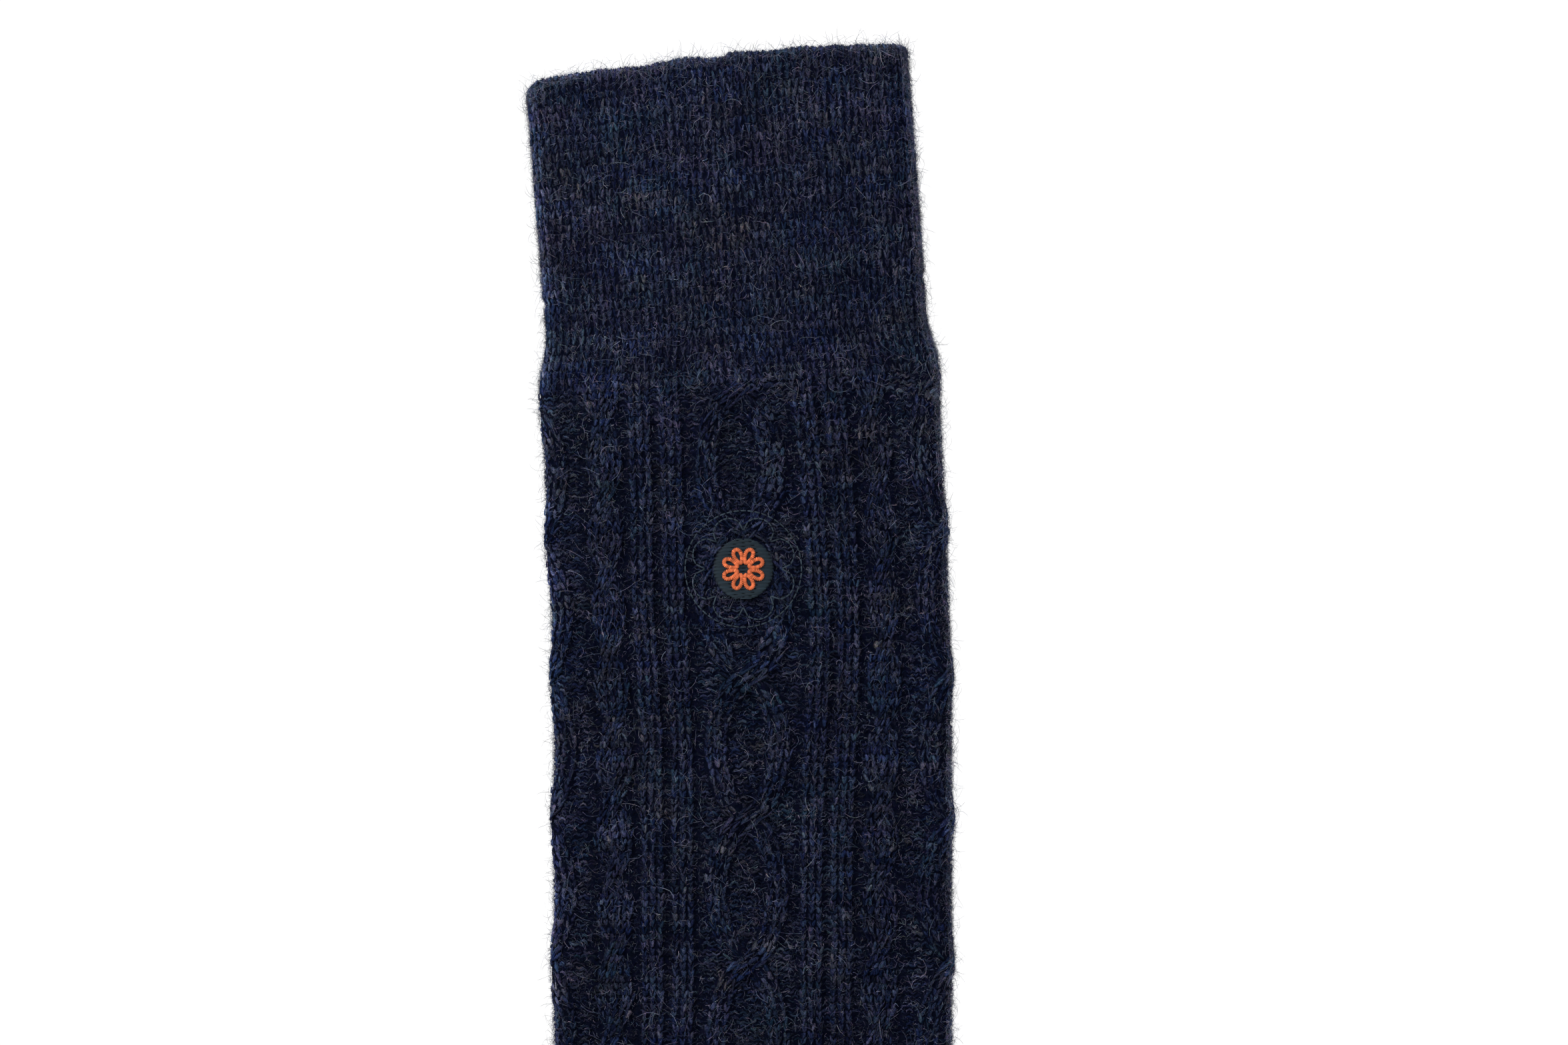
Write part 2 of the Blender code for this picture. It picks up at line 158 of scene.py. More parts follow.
def ankle_line(turn):
    """Sections of the ankle, at shares of its turn."""
    angle = -ANKLE_TURN * turn
    across_x = np.cos(angle)
    across_y = np.sin(angle)
    width = LEG_WIDTH + (FOOT_WIDTH - LEG_WIDTH) * np.interp(turn, HEEL_TURNS, HEEL_TOWARDS_FOOT)
    width = width + np.interp(turn, HEEL_TURNS, HEEL_BULGES)
    reach = INSTEP_RADIUS + width / 2
    middle_x = -LEG_WIDTH / 2 - INSTEP_RADIUS + across_x * reach
    return middle_x, -LEG_TOP + across_y * reach, across_x, across_y, width / 2, np.ones_like(width)


def foot_line(distance):
    """Sections of the foot and the toe, at distances past the ankle."""
    middle_x, middle_y, across_x, across_y, half, _ = ankle_line(np.ones_like(distance))
    late = np.clip((distance - FOOT_LENGTH) / TOE_LENGTH, 0.0, 1.0) ** TOE_LATENESS
    narrow = TOE_SEAM_SHARE + (1 - TOE_SEAM_SHARE) * (1 - late) ** TOE_ROUNDNESS
    middle_x = middle_x + across_y * distance
    middle_y = middle_y - across_x * distance
    return middle_x, middle_y, across_x, across_y, half * narrow, 1 - TOE_THINNING * late


# %% [markdown]
# ## The flattened section
# Lying flat, the tube has an upper layer with a soft crown, a fold at each edge and a lower layer
# pressed level by the table. One number says where a stitch is on the way round. It is counted in
# wales from the middle of the upper layer, round the back edge, below, and round the front edge.

# %% From a place on the knitting to a place in space
def round_tube(line, along, lift):
    """Points of the tube's skin. along is the way round in metres from the upper middle, and lift
    is the height above the skin."""
    middle_x, middle_y, across_x, across_y, half, thin = line
    radius = EDGE_RADIUS * thin
    straight = half - radius
    around = 4 * straight + 2 * np.pi * radius
    along = np.mod(along, around)
    side = np.where(along <= around / 2, 1.0, -1.0)
    along = np.minimum(along, around - along)
    fold = np.pi * radius
    on_top = along < straight
    on_fold = (along >= straight) & (along < straight + fold)
    angle = np.pi / 2 - (along - straight) / radius
    crown = CROWN * thin * (1 + np.cos(np.pi * np.minimum(along / straight, 1.0))) / 2
    x = np.where(on_top, along, 2 * straight + fold - along)
    x = np.where(on_fold, straight + radius * np.cos(angle), x)
    z = np.where(on_top, 2 * radius + crown, 0.0)
    z = np.where(on_fold, radius + radius * np.sin(angle), z)
    out_x = np.where(on_fold, np.cos(angle), 0.0)
    out_z = np.where(on_top, 1.0, np.where(on_fold, np.sin(angle), -1.0))
    x = (x + lift * out_x) * side
    z = z + lift * out_z
    return np.stack([middle_x + across_x * x, middle_y + across_y * x, z], axis=-1)


def perimeter(line):
    """The way round each section."""
    half, thin = line[4], line[5]
    return 4 * (half - EDGE_RADIUS * thin) + 2 * np.pi * EDGE_RADIUS * thin


# %% [markdown]
# ## The knitting chart
# The leg's pattern repeats four times round the tube. From the middle of a cable panel outwards it
# has six sunk purl wales, a trough, a rib of three knit wales, a groove, a second rib, a trough, a
# narrow rope of five wales, and a trough again before the next panel, which lies on the fold.
# The relief is what the knitter gets for nothing: knit wales curl forwards and purl wales back.

# %% The relief of the bands and the cables
PANEL_HALF = 6.5
GROOVE = 10.5
SEAM = 14.5
RIB_MIDDLES = (8.5, 12.5)
ROPE_MIDDLE = 17.5
SIDE_EDGE = 20.5
QUARTER = 28.0
RIB_HEIGHT = 0.0009
STRAND_HEIGHT = 0.0014
DENT_DEPTH = 0.00045
OVAL_LENGTH = 0.0321
OVAL_REACH = 4.1
FIRST_OVAL = 0.0195


def chart_place(wale):
    """How far a wale is from the nearest front or back panel's middle, from 0 to 28."""
    turn = np.mod(wale, WALES / 2)
    return np.minimum(turn, WALES / 2 - turn)


def band_height(wale):
    """The height of the chart's bands above the purl ground, without the cables' strands."""
    place = chart_place(wale)
    ribs = [1 - smoothstep((np.abs(place - middle) - 1.15) / 0.75) for middle in RIB_MIDDLES]
    rope = 1 - smoothstep((np.abs(place - ROPE_MIDDLE) - 1.9) / 0.9)
    groove = 0.15 * np.exp(-(((place - GROOVE) / 0.6) ** 2))
    dent = sum(np.exp(-(((place - spot) / 0.55) ** 2)) for spot in (PANEL_HALF, SEAM, SIDE_EDGE))
    return RIB_HEIGHT * (np.maximum(*ribs) + 0.75 * rope + groove) - DENT_DEPTH * dent


def oval_phase(distance):
    """How many ovals of the chain cables lie between the first one and a distance."""
    return (distance - CUFF_DEPTH - FIRST_OVAL) / OVAL_LENGTH


def sway(distance):
    """How many wales a strand of a chain cable has swung from its panel's middle. It runs along
    the side of each oval and then crosses over within two or three courses."""
    wave = np.cos(np.pi * oval_phase(distance))
    return OVAL_REACH * (np.tanh(wave / 0.20) * (0.32 + 0.68 * np.abs(wave) ** 0.85))


def from_panel(wale):
    """How many wales a place is from the middle of the nearest cable panel."""
    return np.abs(np.mod(wale + QUARTER / 2, QUARTER) - QUARTER / 2)


def strand_distance(wale, distance):
    """How far a place is from the middle of the nearest strand of a chain cable, in wales."""
    return np.abs(from_panel(wale) - np.abs(sway(distance)))


def full_relief(wale, distance):
    """The height of bands and chain cables together."""
    away = strand_distance(wale, distance)
    strand = STRAND_HEIGHT * (1 - 0.14 * away**2) * (1 - smoothstep((away - 1.4) / 0.5))
    return np.maximum(band_height(wale), np.where(away < 2, strand, 0.0))


# %% [markdown]
# ## The emblem's seat
# The emblem is sewn through the leg onto a stiff backing. The backing presses the cable below it
# flat and spreads the panel a little, and the thin stitches round the emblem hold the cloth down
# too. All of it depends on how far along the cloth a place is from the emblem's middle. The wales
# of the leg are 1.7 mm apart.

# %% How the emblem shapes the cloth
EMBLEM_DISTANCE = 0.0429
SEAT_RADIUS = 0.0087
PANEL_WALE = 0.0017


def signed(wale):
    """A wale's place counted from the upper middle, positive towards the back edge."""
    return np.mod(wale + WALES / 2, WALES) - WALES / 2


def widening(wale, distance):
    """How far the stiff backing spreads the front panel, in metres along the cloth."""
    place = signed(wale)
    away = np.abs(place)
    share = smoothstep(away / 8) * (1 - smoothstep((away - 14) / 13))
    down = distance - CUFF_DEPTH - EMBLEM_DISTANCE - 0.003
    right = 0.0025 * np.exp(-((down / 0.040) ** 2))
    left = -0.0012 * np.exp(-((down / 0.030) ** 2))
    return share * np.where(place > 0, right, left)


def from_emblem(wale, distance):
    """The distance along the cloth from the emblem's middle."""
    across = signed(wale) * PANEL_WALE + widening(wale, distance)
    return np.hypot(across, distance - CUFF_DEPTH - EMBLEM_DISTANCE)


def emblem_press(wale, distance):
    """1 where the emblem presses the leg flat, less where its ring holds it, and 0 beyond."""
    away = from_emblem(wale, distance)
    seat = 1 - smoothstep((away - SEAT_RADIUS) / 0.0025)
    return np.maximum(seat, 0.45 * (1 - smoothstep((away - 0.0115) / 0.0030)))


# %% [markdown]
# ## The cloth's skin
# Now the relief goes onto the tube. On the upper layer it stands up from the skin, and on the
# lower one the table presses it in. Real cloth never lies quite straight, so its wales waver and
# its courses sag by a fraction of a stitch. Each part of the sock gets a function that takes a
# wale, a place along it and a height above the skin, and returns a point in space.

# %% The skin of the cuff and the leg
HEM_DEPTH = 0.0507
HEM_LIFT = 0.0003
SEAT_LIFT = 0.0003
LOOSE = 0.01
RIM = 0.0012


def past_fold(wale):
    """How many wales a place is from the nearest fold, positive on the upper layer."""
    return np.abs(np.mod(wale, WALES) - WALES / 2) - QUARTER


def lower_share(wale):
    """1 on the pressed lower layer, 0 on the upper one, changing over round the folds."""
    return smoothstep((3 - past_fold(wale)) / 6)


def settle(height, wale):
    """Relief as it lies: standing up from the skin on top, sunk below it on the pressed layer."""
    low = lower_share(wale)
    height = height * (1 - 0.4 * np.exp(-((past_fold(wale) / 6) ** 2)))
    return height * (1 - low) + np.minimum(0.5 * (height - STRAND_HEIGHT), 0.0) * low


def mouth_rise(wale, place):
    """How far the rim bows up from a straight mouth, with round corners and uneven stitches."""
    x = np.clip((np.mod(wale + WALES / 4, WALES / 2) / (WALES / 4) - 1), -1, 1)
    x = np.where(np.mod(wale + WALES / 4, WALES) < WALES / 2, x, -x)
    corner = smoothstep((np.abs(x) - 0.84) / 0.16)
    rise = 0.0016 * (1 - x * x) + 0.0016 * x - 0.0018 * corner
    rise = rise + 0.0005 * soft_noise(place, 0.0, 0.0070, 53)
    return rise + 0.0003 * soft_noise(place, 0.0, 0.0025, 54)


def leg_skin(wale, distance, lift, height=None):
    """Points of cuff and leg. distance is below the mouth. height is the relief at the point."""
    if height is None:
        height = full_relief(wale, distance)
    ramp = smoothstep((distance - CUFF_DEPTH + 0.0020) / WAIST_LENGTH)
    press = emblem_press(wale, distance)
    relief = settle(height, wale) * ramp * (1 - press) + SEAT_LIFT * press
    hem = HEM_LIFT * (1 - smoothstep((distance - HEM_DEPTH + 0.0006) / 0.0012))
    hem = hem * (1 - lower_share(wale))
    hem = hem - 0.0004 * np.exp(-(((distance - HEM_DEPTH - 0.0008) / 0.0009) ** 2))
    place = signed(wale) * PANEL_WALE
    free = smoothstep(distance / LOOSE) * smoothstep((LEG_END - distance) / LOOSE)
    waver = 0.00030 * soft_noise(place, distance, 0.0110, 51) * free
    sag = 0.00040 * soft_noise(place, distance, 0.0130, 52) * free
    line = leg_line(distance + sag)
    along = wale / WALES * perimeter(line) + PANEL_SHIFT + widening(wale, distance) + waver
    skin = round_tube(line, along, relief + hem + lift)
    skin[..., 1] += mouth_rise(wale, place) * np.clip(1 - distance / CUFF_DEPTH, 0, 1) ** 2
    return skin


def cuff_skin(wale, cloth, lift):
    """Points of the cuff. cloth is the way along the cloth: outside below the rim it is positive,
    and from 0 back it goes over the rolled rim and down the inside."""
    angle = np.clip(-cloth / RIM, 0, np.pi)
    inside = np.maximum(0.0, -cloth / RIM - np.pi) * RIM
    distance = RIM * (1 - np.sin(angle)) - lift * np.sin(angle) + np.maximum(cloth, 0) + inside
    out = lift * np.cos(angle) - RIM * (1 - np.cos(angle))
    return leg_skin(wale, distance, out)


# %% The skin of the ankle, the foot and the toe
CAP_ARC = 0.0040
CAP_REACH = 0.0022
SEAM_Z = 0.0027


def ankle_skin(wale, turn, lift):
    """Points of the ankle, at shares of its turn."""
    line = ankle_line(turn)
    height = settle(band_height(wale), wale) * (1 - smoothstep(turn / 0.10))
    shift = PANEL_SHIFT * (1 - smoothstep(turn / 0.5))
    return round_tube(line, wale / WALES * perimeter(line) + shift, height + lift)


def cap_bulge(share):
    """How far the toe's end bulges past its last course, at shares of its half width."""
    return CAP_REACH * np.sqrt(np.clip(1 - np.abs(share) ** 2.5, 0.0, 1.0))


def foot_skin(wale, distance, lift, keep_width=False):
    """Points of the foot and the toe. Past the toe's end the two layers close on the toe seam. With
    keep_width the wales don't narrow with the toe: the two beside each fold follow the fold and
    the others keep their places from the middle of their layer."""
    over = np.clip((distance - TOE_END) / CAP_ARC, 0.0, 1.0)
    line = foot_line(np.minimum(distance, TOE_END))
    now = perimeter(line)
    wale = np.mod(wale, WALES)
    along = wale / WALES * now
    if keep_width:
        full = perimeter(foot_line(np.zeros_like(now)))
        fold = np.where(wale < WALES / 2, QUARTER, 3 * QUARTER)
        nearest = np.where(np.abs(wale - fold) < 2.0, fold, np.round(wale / 56) * 56)
        along = nearest / WALES * now + (wale - nearest) / WALES * full
    skin = round_tube(line, along, lift)
    share = chart_place(along / now * WALES) / QUARTER
    bulge = cap_bulge(share) * np.sin(over * np.pi / 2)
    skin[..., 0] += line[3] * bulge
    skin[..., 1] -= line[2] * bulge
    close = np.cos(over * np.pi / 2)
    skin[..., 2] = SEAM_Z + (skin[..., 2] - SEAM_Z) * close + lift * 0.6 * (1 - close)
    return skin


# %% [markdown]
# ## Colours of the yarn
# The yarn is a melange: wool of several colours, blended before it is spun. From afar it is navy
# blue. Close by it breaks up into blue, slate, brown grey and green blue, in runs of a few
# stitches along the yarn and in softer patches across the cloth. So each stitch gets a colour
# from smooth random fields, one along the yarn's run and some across the cloth, and a little
# chance of its own. A lighter stitch is also a greyer one, because the palest wool in the blend
# isn't dyed.

# %% Random fields and the melange
PALETTE = np.array(
    [
        (0.0056, 0.0111, 0.0500),
        (0.0118, 0.0128, 0.0382),
        (0.0133, 0.0151, 0.0256),
        (0.0051, 0.0143, 0.0351),
        (0.0027, 0.0045, 0.0186),
    ]
)
PALER = np.array([1.11, 1.0, 0.72])


def melange(x, y, run, rng):
    """The yarn's colour at places of the cloth. run counts the stitches along the yarn."""
    weights = []
    for n in range(len(PALETTE)):
        field = 0.9 * soft_noise(x, y, 0.0065, 10 + n) + 0.8 * soft_noise(run, 0.0, 5.0, 20 + n)
        field += 0.6 * soft_noise(run, 0.0, 1.7, 30 + n) + 0.3 * rng.normal(size=np.shape(x))
        weights.append(np.exp(1.35 * field))
    weights = np.array(weights)
    weights /= weights.sum(axis=0)
    colour = np.tensordot(weights, PALETTE, axes=(0, 0))
    value = 0.26 * soft_noise(x, y, 0.0026, 41) + 0.16 * soft_noise(x, y, 0.0090, 42)
    value += 0.24 * soft_noise(0.3 * x, y, 0.0036, 43) + 0.26 * soft_noise(0.4 * x, y, 0.0021, 44)
    value += 0.50 * np.clip(rng.normal(size=np.shape(x)), -2, 2)
    return colour * np.exp(value[..., None] * PALER)


# %% [markdown]
# ## Materials
# Wool scatters light between thousands of fibres, so it is quite matt. The stitches carry their
# own colours. A picture of fibres could be laid over them, but it would blur close by. So two
# noises break each stitch into fibres, one that runs along the stitch and one that doesn't, and
# shift their hue a little. Embroidery thread is smoother, with a soft shine.

# %% Wool and thread
FIBRE_PATCH = 0.00038
FIBRE_CONTRAST = 0.84
FIBRE_BUMP = 0.00010
LOOSE_PATCH = 0.0012
LOOSE_CONTRAST = 0.5
SHADE_RANGE = (0.75, 1.17)
HUE_RANGE = (0.3, 0.7)
HUE_LOW = (0.62, 0.74, 0.76)
HUE_HIGH = (1.38, 1.26, 1.24)
WOOL = {"Roughness": 0.92, "Specular IOR Level": 0.02}
THREAD = {"Roughness": 0.55, "Specular IOR Level": 0.15}


def new_material(name):
    """A material, its node tree and its shader."""
    material = bpy.data.materials.new(name)
    material.use_nodes = True
    return material, material.node_tree, material.node_tree.nodes["Principled BSDF"]


def set_inputs(node, inputs):
    """Values for a node's inputs, or the outputs of other nodes that feed them."""
    for name, value in inputs.items():
        if isinstance(value, bpy.types.NodeSocket):
            node.id_data.links.new(value, node.inputs[name])
        else:
            node.inputs[name].default_value = value


def add_node(tree, kind, inputs=None, **settings):
    """A node of one kind, with its settings and its inputs."""
    node = tree.nodes.new("ShaderNode" + kind)
    for name, value in settings.items():
        setattr(node, name, value)
    set_inputs(node, inputs or {})
    return node


def wool_material(name, noise_size, contrast, bump):
    """Matt wool. It takes its colour from the piece's yarn attribute and breaks it into fibres,
    which run along each stitch by the piece's fibre attribute."""
    material, tree, shader = new_material(name)
    place = add_node(tree, "TexCoord").outputs["Object"]
    patches = {"Vector": place, "Scale": 1 / noise_size, "Detail": 3.0, "Roughness": 0.75}
    fine = add_node(tree, "TexNoise", patches).outputs
    hair = add_node(tree, "Attribute", attribute_name="fibre").outputs["Vector"]
    streak = add_node(tree, "TexNoise", {"Vector": hair, "Scale": 1.0, "Detail": 2.0}).outputs["Fac"]
    shares = {0: streak, 1: 0.9, 2: fine["Fac"]}
    blend = add_node(tree, "Math", shares, operation="MULTIPLY_ADD").outputs["Value"]
    dark = tuple((1 - contrast) ** power for power in PALER)
    light = tuple((1 + 2.2 * contrast) ** power for power in PALER)
    colour = add_node(tree, "Attribute", attribute_name="yarn").outputs["Color"]
    for source, (start, end), low, high in (
        (blend, SHADE_RANGE, dark, light),
        (fine["Color"], HUE_RANGE, HUE_LOW, HUE_HIGH),
    ):
        factor = add_node(tree, "MapRange", data_type="FLOAT_VECTOR")
        set_inputs(factor, {"Vector": source, 7: (start,) * 3, 8: (end,) * 3, 9: low, 10: high})
        tint = {0: colour, 1: factor.outputs["Vector"]}
        colour = add_node(tree, "VectorMath", tint, operation="MULTIPLY").outputs["Vector"]
    set_inputs(shader, {"Base Color": colour, **WOOL})
    if bump:
        relief = {"Height": fine["Fac"], "Strength": 0.6, "Distance": bump}
        set_inputs(shader, {"Normal": add_node(tree, "Bump", relief).outputs["Normal"]})
    return material


def thread_material(name):
    """Embroidery thread: smoother than wool, with a soft shine."""
    material, tree, shader = new_material(name)
    yarn = add_node(tree, "Attribute", attribute_name="yarn").outputs["Color"]
    set_inputs(shader, {"Base Color": yarn, **THREAD})
    return material


knit_wool = wool_material("knit_wool", FIBRE_PATCH, FIBRE_CONTRAST, FIBRE_BUMP)
loose_wool = wool_material("loose_wool", LOOSE_PATCH, LOOSE_CONTRAST, 0.0)
teal_thread = thread_material("teal_thread")
orange_thread = thread_material("orange_thread")

# %% [markdown]
# ## One stitch
# Each knit stitch shows as a small V, because its two legs lean together at the foot of the
# stitch. A purl stitch shows its head instead, a short bar across the wale. A loop of yarn could
# be swept for every stitch, but most of it would be hidden. So every leg or bar is one grain: a
# tapered arch, open below, whose two ends dive under its neighbours. A grain is described once
# and laid at every stitch.

# %% Grains of yarn
def curve(across, along, dip, half):
    """The centre line of one grain, in per cent of the wale across and of the course along, with
    its dip below the crest and its half width in hundredths of a millimetre. The first and the
    last point are tips."""
    return np.array([across, along, dip, half]) / np.array([[1e2], [1e2], [1e5], [1e5]])


KNIT_LEG = curve((32, 27, 17, 8, 3), (-62, -37, 0, 37, 60), (32, 8, 0, 4, 32), (14, 31, 34, 31, 14))
PURL_HEAD = curve((-58, -30, 0, 30, 58), (12, -20, -36, -20, 12), (34, 8, 0, 8, 34), (10, 26, 29, 26, 10))
PURL_FOOT = curve((-8, 20, 50, 80, 108), (-12, 18, 34, 18, -12), (40, 14, 6, 14, 40), (10, 25, 27, 25, 10))
PLAIN_LEG = curve((32, 23, 11, 4), (-64, -24, 24, 62), (32, 3, 3, 32), (14, 34, 34, 14))
HIDDEN_LEG = curve((36, 23, 10), (-70, 0, 70), (36, 0, 36), (12, 38, 12))
HIDDEN_PURL = curve((-52, 0, 52), (0, -24, 0), (30, 0, 30), (12, 40, 12))

# %% Laying the grains
EDGE_DROP = 0.00034
# Painted shade: each grain is darker at its tips and along its sides, darkest on a leg's outer side, where
# it dives under its neighbours and meets the next wale.
TIP_PAINTED_SHADE = 0.48
INNER_PAINTED_SHADE = 0.88
OUTER_PAINTED_SHADE = 0.20
FIBRE_WIDTH = 0.00012
FIBRE_RUN = 0.0009
PROBE = 0.0002
# Painted light: grains that face sideways, on the folds, are made lighter by this factor.
PAINTED_FOLD_LIGHT = 1.5
NEARLY_LEVEL = 0.99
FOLD_SOFTNESS = 0.35
KNIT_JITTER = 0.11
PURL_JITTER = 0.15


def repeated(pattern, count, size):
    """The faces of many copies of one mesh that has size vertices."""
    return (np.array(pattern)[None] + np.arange(count)[:, None, None] * size).reshape(-1, 3)


def grain_mesh(lay, wale, row, run, grain, wide, tall, rng, mirror=1, jitter=KNIT_JITTER):
    """Vertices, faces and looks of one grain at each stitch. lay turns local places into space,
    wale and row are the stitches' middles, wide is one wale in metres, and tall is one course in
    the units of row and in metres. Grains that face sideways, on the folds, get painted light: a
    lighter colour for the table's light that the fuzz there would catch. Every grain also gets
    painted shade, darker at its tips and sides."""
    count = len(wale)
    steps = grain.shape[1]
    is_leg = grain[0].min() > 0 and grain[0].max() < 0.5
    row_unit, course = tall
    shake = rng.normal(size=(6, count, 1)) * jitter
    across = mirror * grain[0] * (1 + shake[0]) + 0.7 * shake[1]
    along = grain[1] * (1 + 0.5 * shake[2]) + 0.8 * shake[3]
    dip = grain[2] + 0.0008 * shake[4]
    half = grain[3] * (1 + 1.5 * shake[5])
    flow_x = np.gradient(across * wide, axis=1)
    flow_y = np.gradient(along * course, axis=1)
    size = np.hypot(flow_x, flow_y)
    side_x = -flow_y / size * half / wide
    side_y = flow_x / size * half / course
    own = rng.uniform(0, 300, count)
    outer = -1 if mirror > 0 else 1
    places = []
    painted_shades = []
    strands = []
    for k in range(steps):
        is_tip = k in (0, steps - 1)
        for s in (0,) if is_tip else (-1, 0, 1):
            # Painted shade at the tips and the sides of the grain.
            edge = OUTER_PAINTED_SHADE if s == outer and is_leg else INNER_PAINTED_SHADE
            painted_shades.append(TIP_PAINTED_SHADE if is_tip else edge if s else 1.0)
            strand = (own + s * half[:, k] / FIBRE_WIDTH, along[:, k] * course / FIBRE_RUN, own)
            strands.append(np.stack(strand, axis=-1))
            at_wale = wale + (across[:, k] + s * side_x[:, k])
            at_row = row + row_unit * (along[:, k] + s * side_y[:, k])
            places.append((at_wale, at_row, -dip[:, k] - (EDGE_DROP if s else 0.0)))
    wales, rows, lifts = np.array(places).transpose(1, 2, 0)
    points = lay(wales, rows, lifts)
    above = lay(wales[:, 2:3], rows[:, 2:3], lifts[:, 2:3] + PROBE)[:, 0]
    last = points.shape[1] - 1
    faces = [(0, 1, 2), (0, 2, 3), (last, last - 1, last - 2), (last, last - 2, last - 3)]
    for k in range(steps - 3):
        a = 1 + 3 * k
        faces += [(a, a + 3, a + 4), (a, a + 4, a + 1), (a + 1, a + 4, a + 5), (a + 1, a + 5, a + 2)]
    faces = np.array(faces)
    first = points[0]
    normal = np.cross(first[faces[0][1]] - first[0], first[faces[0][2]] - first[0])
    if np.dot(normal, above[0] - first[2]) < 0:
        faces = faces[:, ::-1]
    colour = melange(points[:, 2, 0], points[:, 2, 1], run, rng)
    facing = np.abs(above[:, 2] - points[:, 2, 2]) / PROBE
    # Painted light on the grains that face sideways, round the folds.
    light = 1 + PAINTED_FOLD_LIGHT * smoothstep((NEARLY_LEVEL - facing) / FOLD_SOFTNESS)
    colours = (colour * light[:, None])[:, None] * np.array(painted_shades)[None, :, None]
    looks = np.concatenate([colours, np.stack(strands, axis=1)], axis=-1)
    return points.reshape(-1, 3), repeated(faces, count, last + 1), looks.reshape(-1, 6)


def plain_look(colours):
    """Looks of vertices that carry a colour and no fibres."""
    return np.concatenate([colours, np.zeros_like(colours)], axis=-1)


def joined(parts):
    """Several meshes as one."""
    points, faces, looks = zip(*parts)
    starts = np.cumsum([0] + [len(part) for part in points])
    faces = [part + start for part, start in zip(faces, starts)]
    return np.concatenate(points), np.concatenate(faces), np.concatenate(looks)


# %% Pieces and rows of stitches
TRIANGLES = {}


def add_piece(name, parts, stands_for=(), material=knit_wool):
    """A named piece of the sock from meshes with vertices, triangles and the vertices' looks,
    which are a colour and a place on the yarn."""
    points, faces, looks = joined(parts)
    points[:, 2] = np.maximum(points[:, 2], 0.0)
    data = bpy.data.meshes.new(name)
    data.vertices.add(len(points))
    data.vertices.foreach_set("co", points.astype(np.float32).ravel())
    data.loops.add(faces.size)
    data.loops.foreach_set("vertex_index", faces.astype(np.int32).ravel())
    data.polygons.add(len(faces))
    data.polygons.foreach_set("loop_start", np.arange(0, faces.size, 3, dtype=np.int32))
    data.update(calc_edges=True)
    data.shade_smooth()
    yarn = data.attributes.new("yarn", "FLOAT_COLOR", "POINT")
    rgba = np.concatenate([np.clip(looks[:, :3], 0, 1), np.ones((len(looks), 1))], axis=1)
    yarn.data.foreach_set("color", rgba.astype(np.float32).ravel())
    fibre = data.attributes.new("fibre", "FLOAT_VECTOR", "POINT")
    fibre.data.foreach_set("vector", looks[:, 3:].astype(np.float32).ravel())
    data.materials.append(material)
    piece = bpy.data.objects.new(name, data)
    bpy.context.scene.collection.objects.link(piece)
    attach(piece, "root")
    if stands_for:
        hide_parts(*stands_for)
    TRIANGLES[name] = len(faces)
    print(name, "triangles", len(faces))


def knit(lay, wales, rows, wide, tall, rng, grain=KNIT_LEG, jitter=KNIT_JITTER):
    """Knit stitches, each with its two legs, at every wale and row given."""
    run = np.round(rows / tall[0]) * WALES + wales
    parts = [
        grain_mesh(lay, wales, rows, run + 0.25 * side, grain, wide, tall, rng, side, jitter)
        for side in (1, -1)
    ]
    return joined(parts)


def purl(lay, wales, rows, wide, tall, rng, tint, grains):
    """Purl stitches, each with the head of one loop and the foot between it and the next. tint is
    painted shade: it darkens them, as they lie deep between the knit wales, from below the top of
    the leg on."""
    run = np.round(rows / tall[0]) * WALES + wales
    parts = [
        grain_mesh(lay, wales, rows, run, grain, wide, tall, rng, jitter=PURL_JITTER)
        for grain in grains
    ]
    points, faces, looks = joined(parts)
    # Painted shade, which grows in from below the top of the leg.
    painted_shade = 1 + (np.asarray(tint) - 1) * smoothstep((rows - CUFF_DEPTH) / WAIST_LENGTH)
    per_grain = len(looks) // (len(grains) * len(rows))
    looks[:, :3] *= np.tile(np.repeat(painted_shade, per_grain), len(grains))[:, None]
    return points, faces, looks


def grid_of(wales, rows):
    """Every wale with every row, as two flat arrays."""
    a, b = np.meshgrid(np.asarray(wales, float), np.asarray(rows, float))
    return a.ravel(), b.ravel()


# %% [markdown]
# ## The cuff
# The cuff is plain stockinette, knitted with a slightly taller stitch. It is a turned hem: the
# cloth goes over the rim and down inside as far as the hem's line, 50 mm below the rim. Its
# courses go on over the rim without a break, so an edge of doubled cloth is all that one sees.
# The lower layer can't be seen from above, so it gets coarser grains. WALE is a stitch's mean
# width. The wales are 1.62 mm apart on the cuff and 1.70 mm on the leg.

# %% Stitches of the cuff
WALE = 0.00165
INNER_COURSES = 9
OUTER_COURSES = 39
ROLL_END = -2.5 * CUFF_COURSE
ALL_WALES = np.arange(WALES) + 0.5


def is_upper(wale):
    """Whether a wale is on the layer that faces up, or just round a fold from it."""
    return (wale < 30) | (wale > 82)


UPPER_WALES = ALL_WALES[is_upper(ALL_WALES)]
LOWER_WALES = ALL_WALES[~is_upper(ALL_WALES)]
rng = np.random.default_rng(7)
cuff_rows = (np.arange(-INNER_COURSES, OUTER_COURSES) + 0.5) * CUFF_COURSE
outside_rows = cuff_rows[cuff_rows > ROLL_END]
inside_rows = cuff_rows[cuff_rows <= ROLL_END]
cuff_gauge = (WALE, (CUFF_COURSE, CUFF_COURSE))
cuff_parts = [
    knit(cuff_skin, *grid_of(UPPER_WALES, outside_rows), *cuff_gauge, rng),
    knit(cuff_skin, *grid_of(LOWER_WALES, outside_rows), *cuff_gauge, rng, HIDDEN_LEG),
    knit(cuff_skin, *grid_of(ALL_WALES, inside_rows), *cuff_gauge, rng, HIDDEN_LEG),
]
add_piece("cuff_stitches", cuff_parts, ("cuff",))

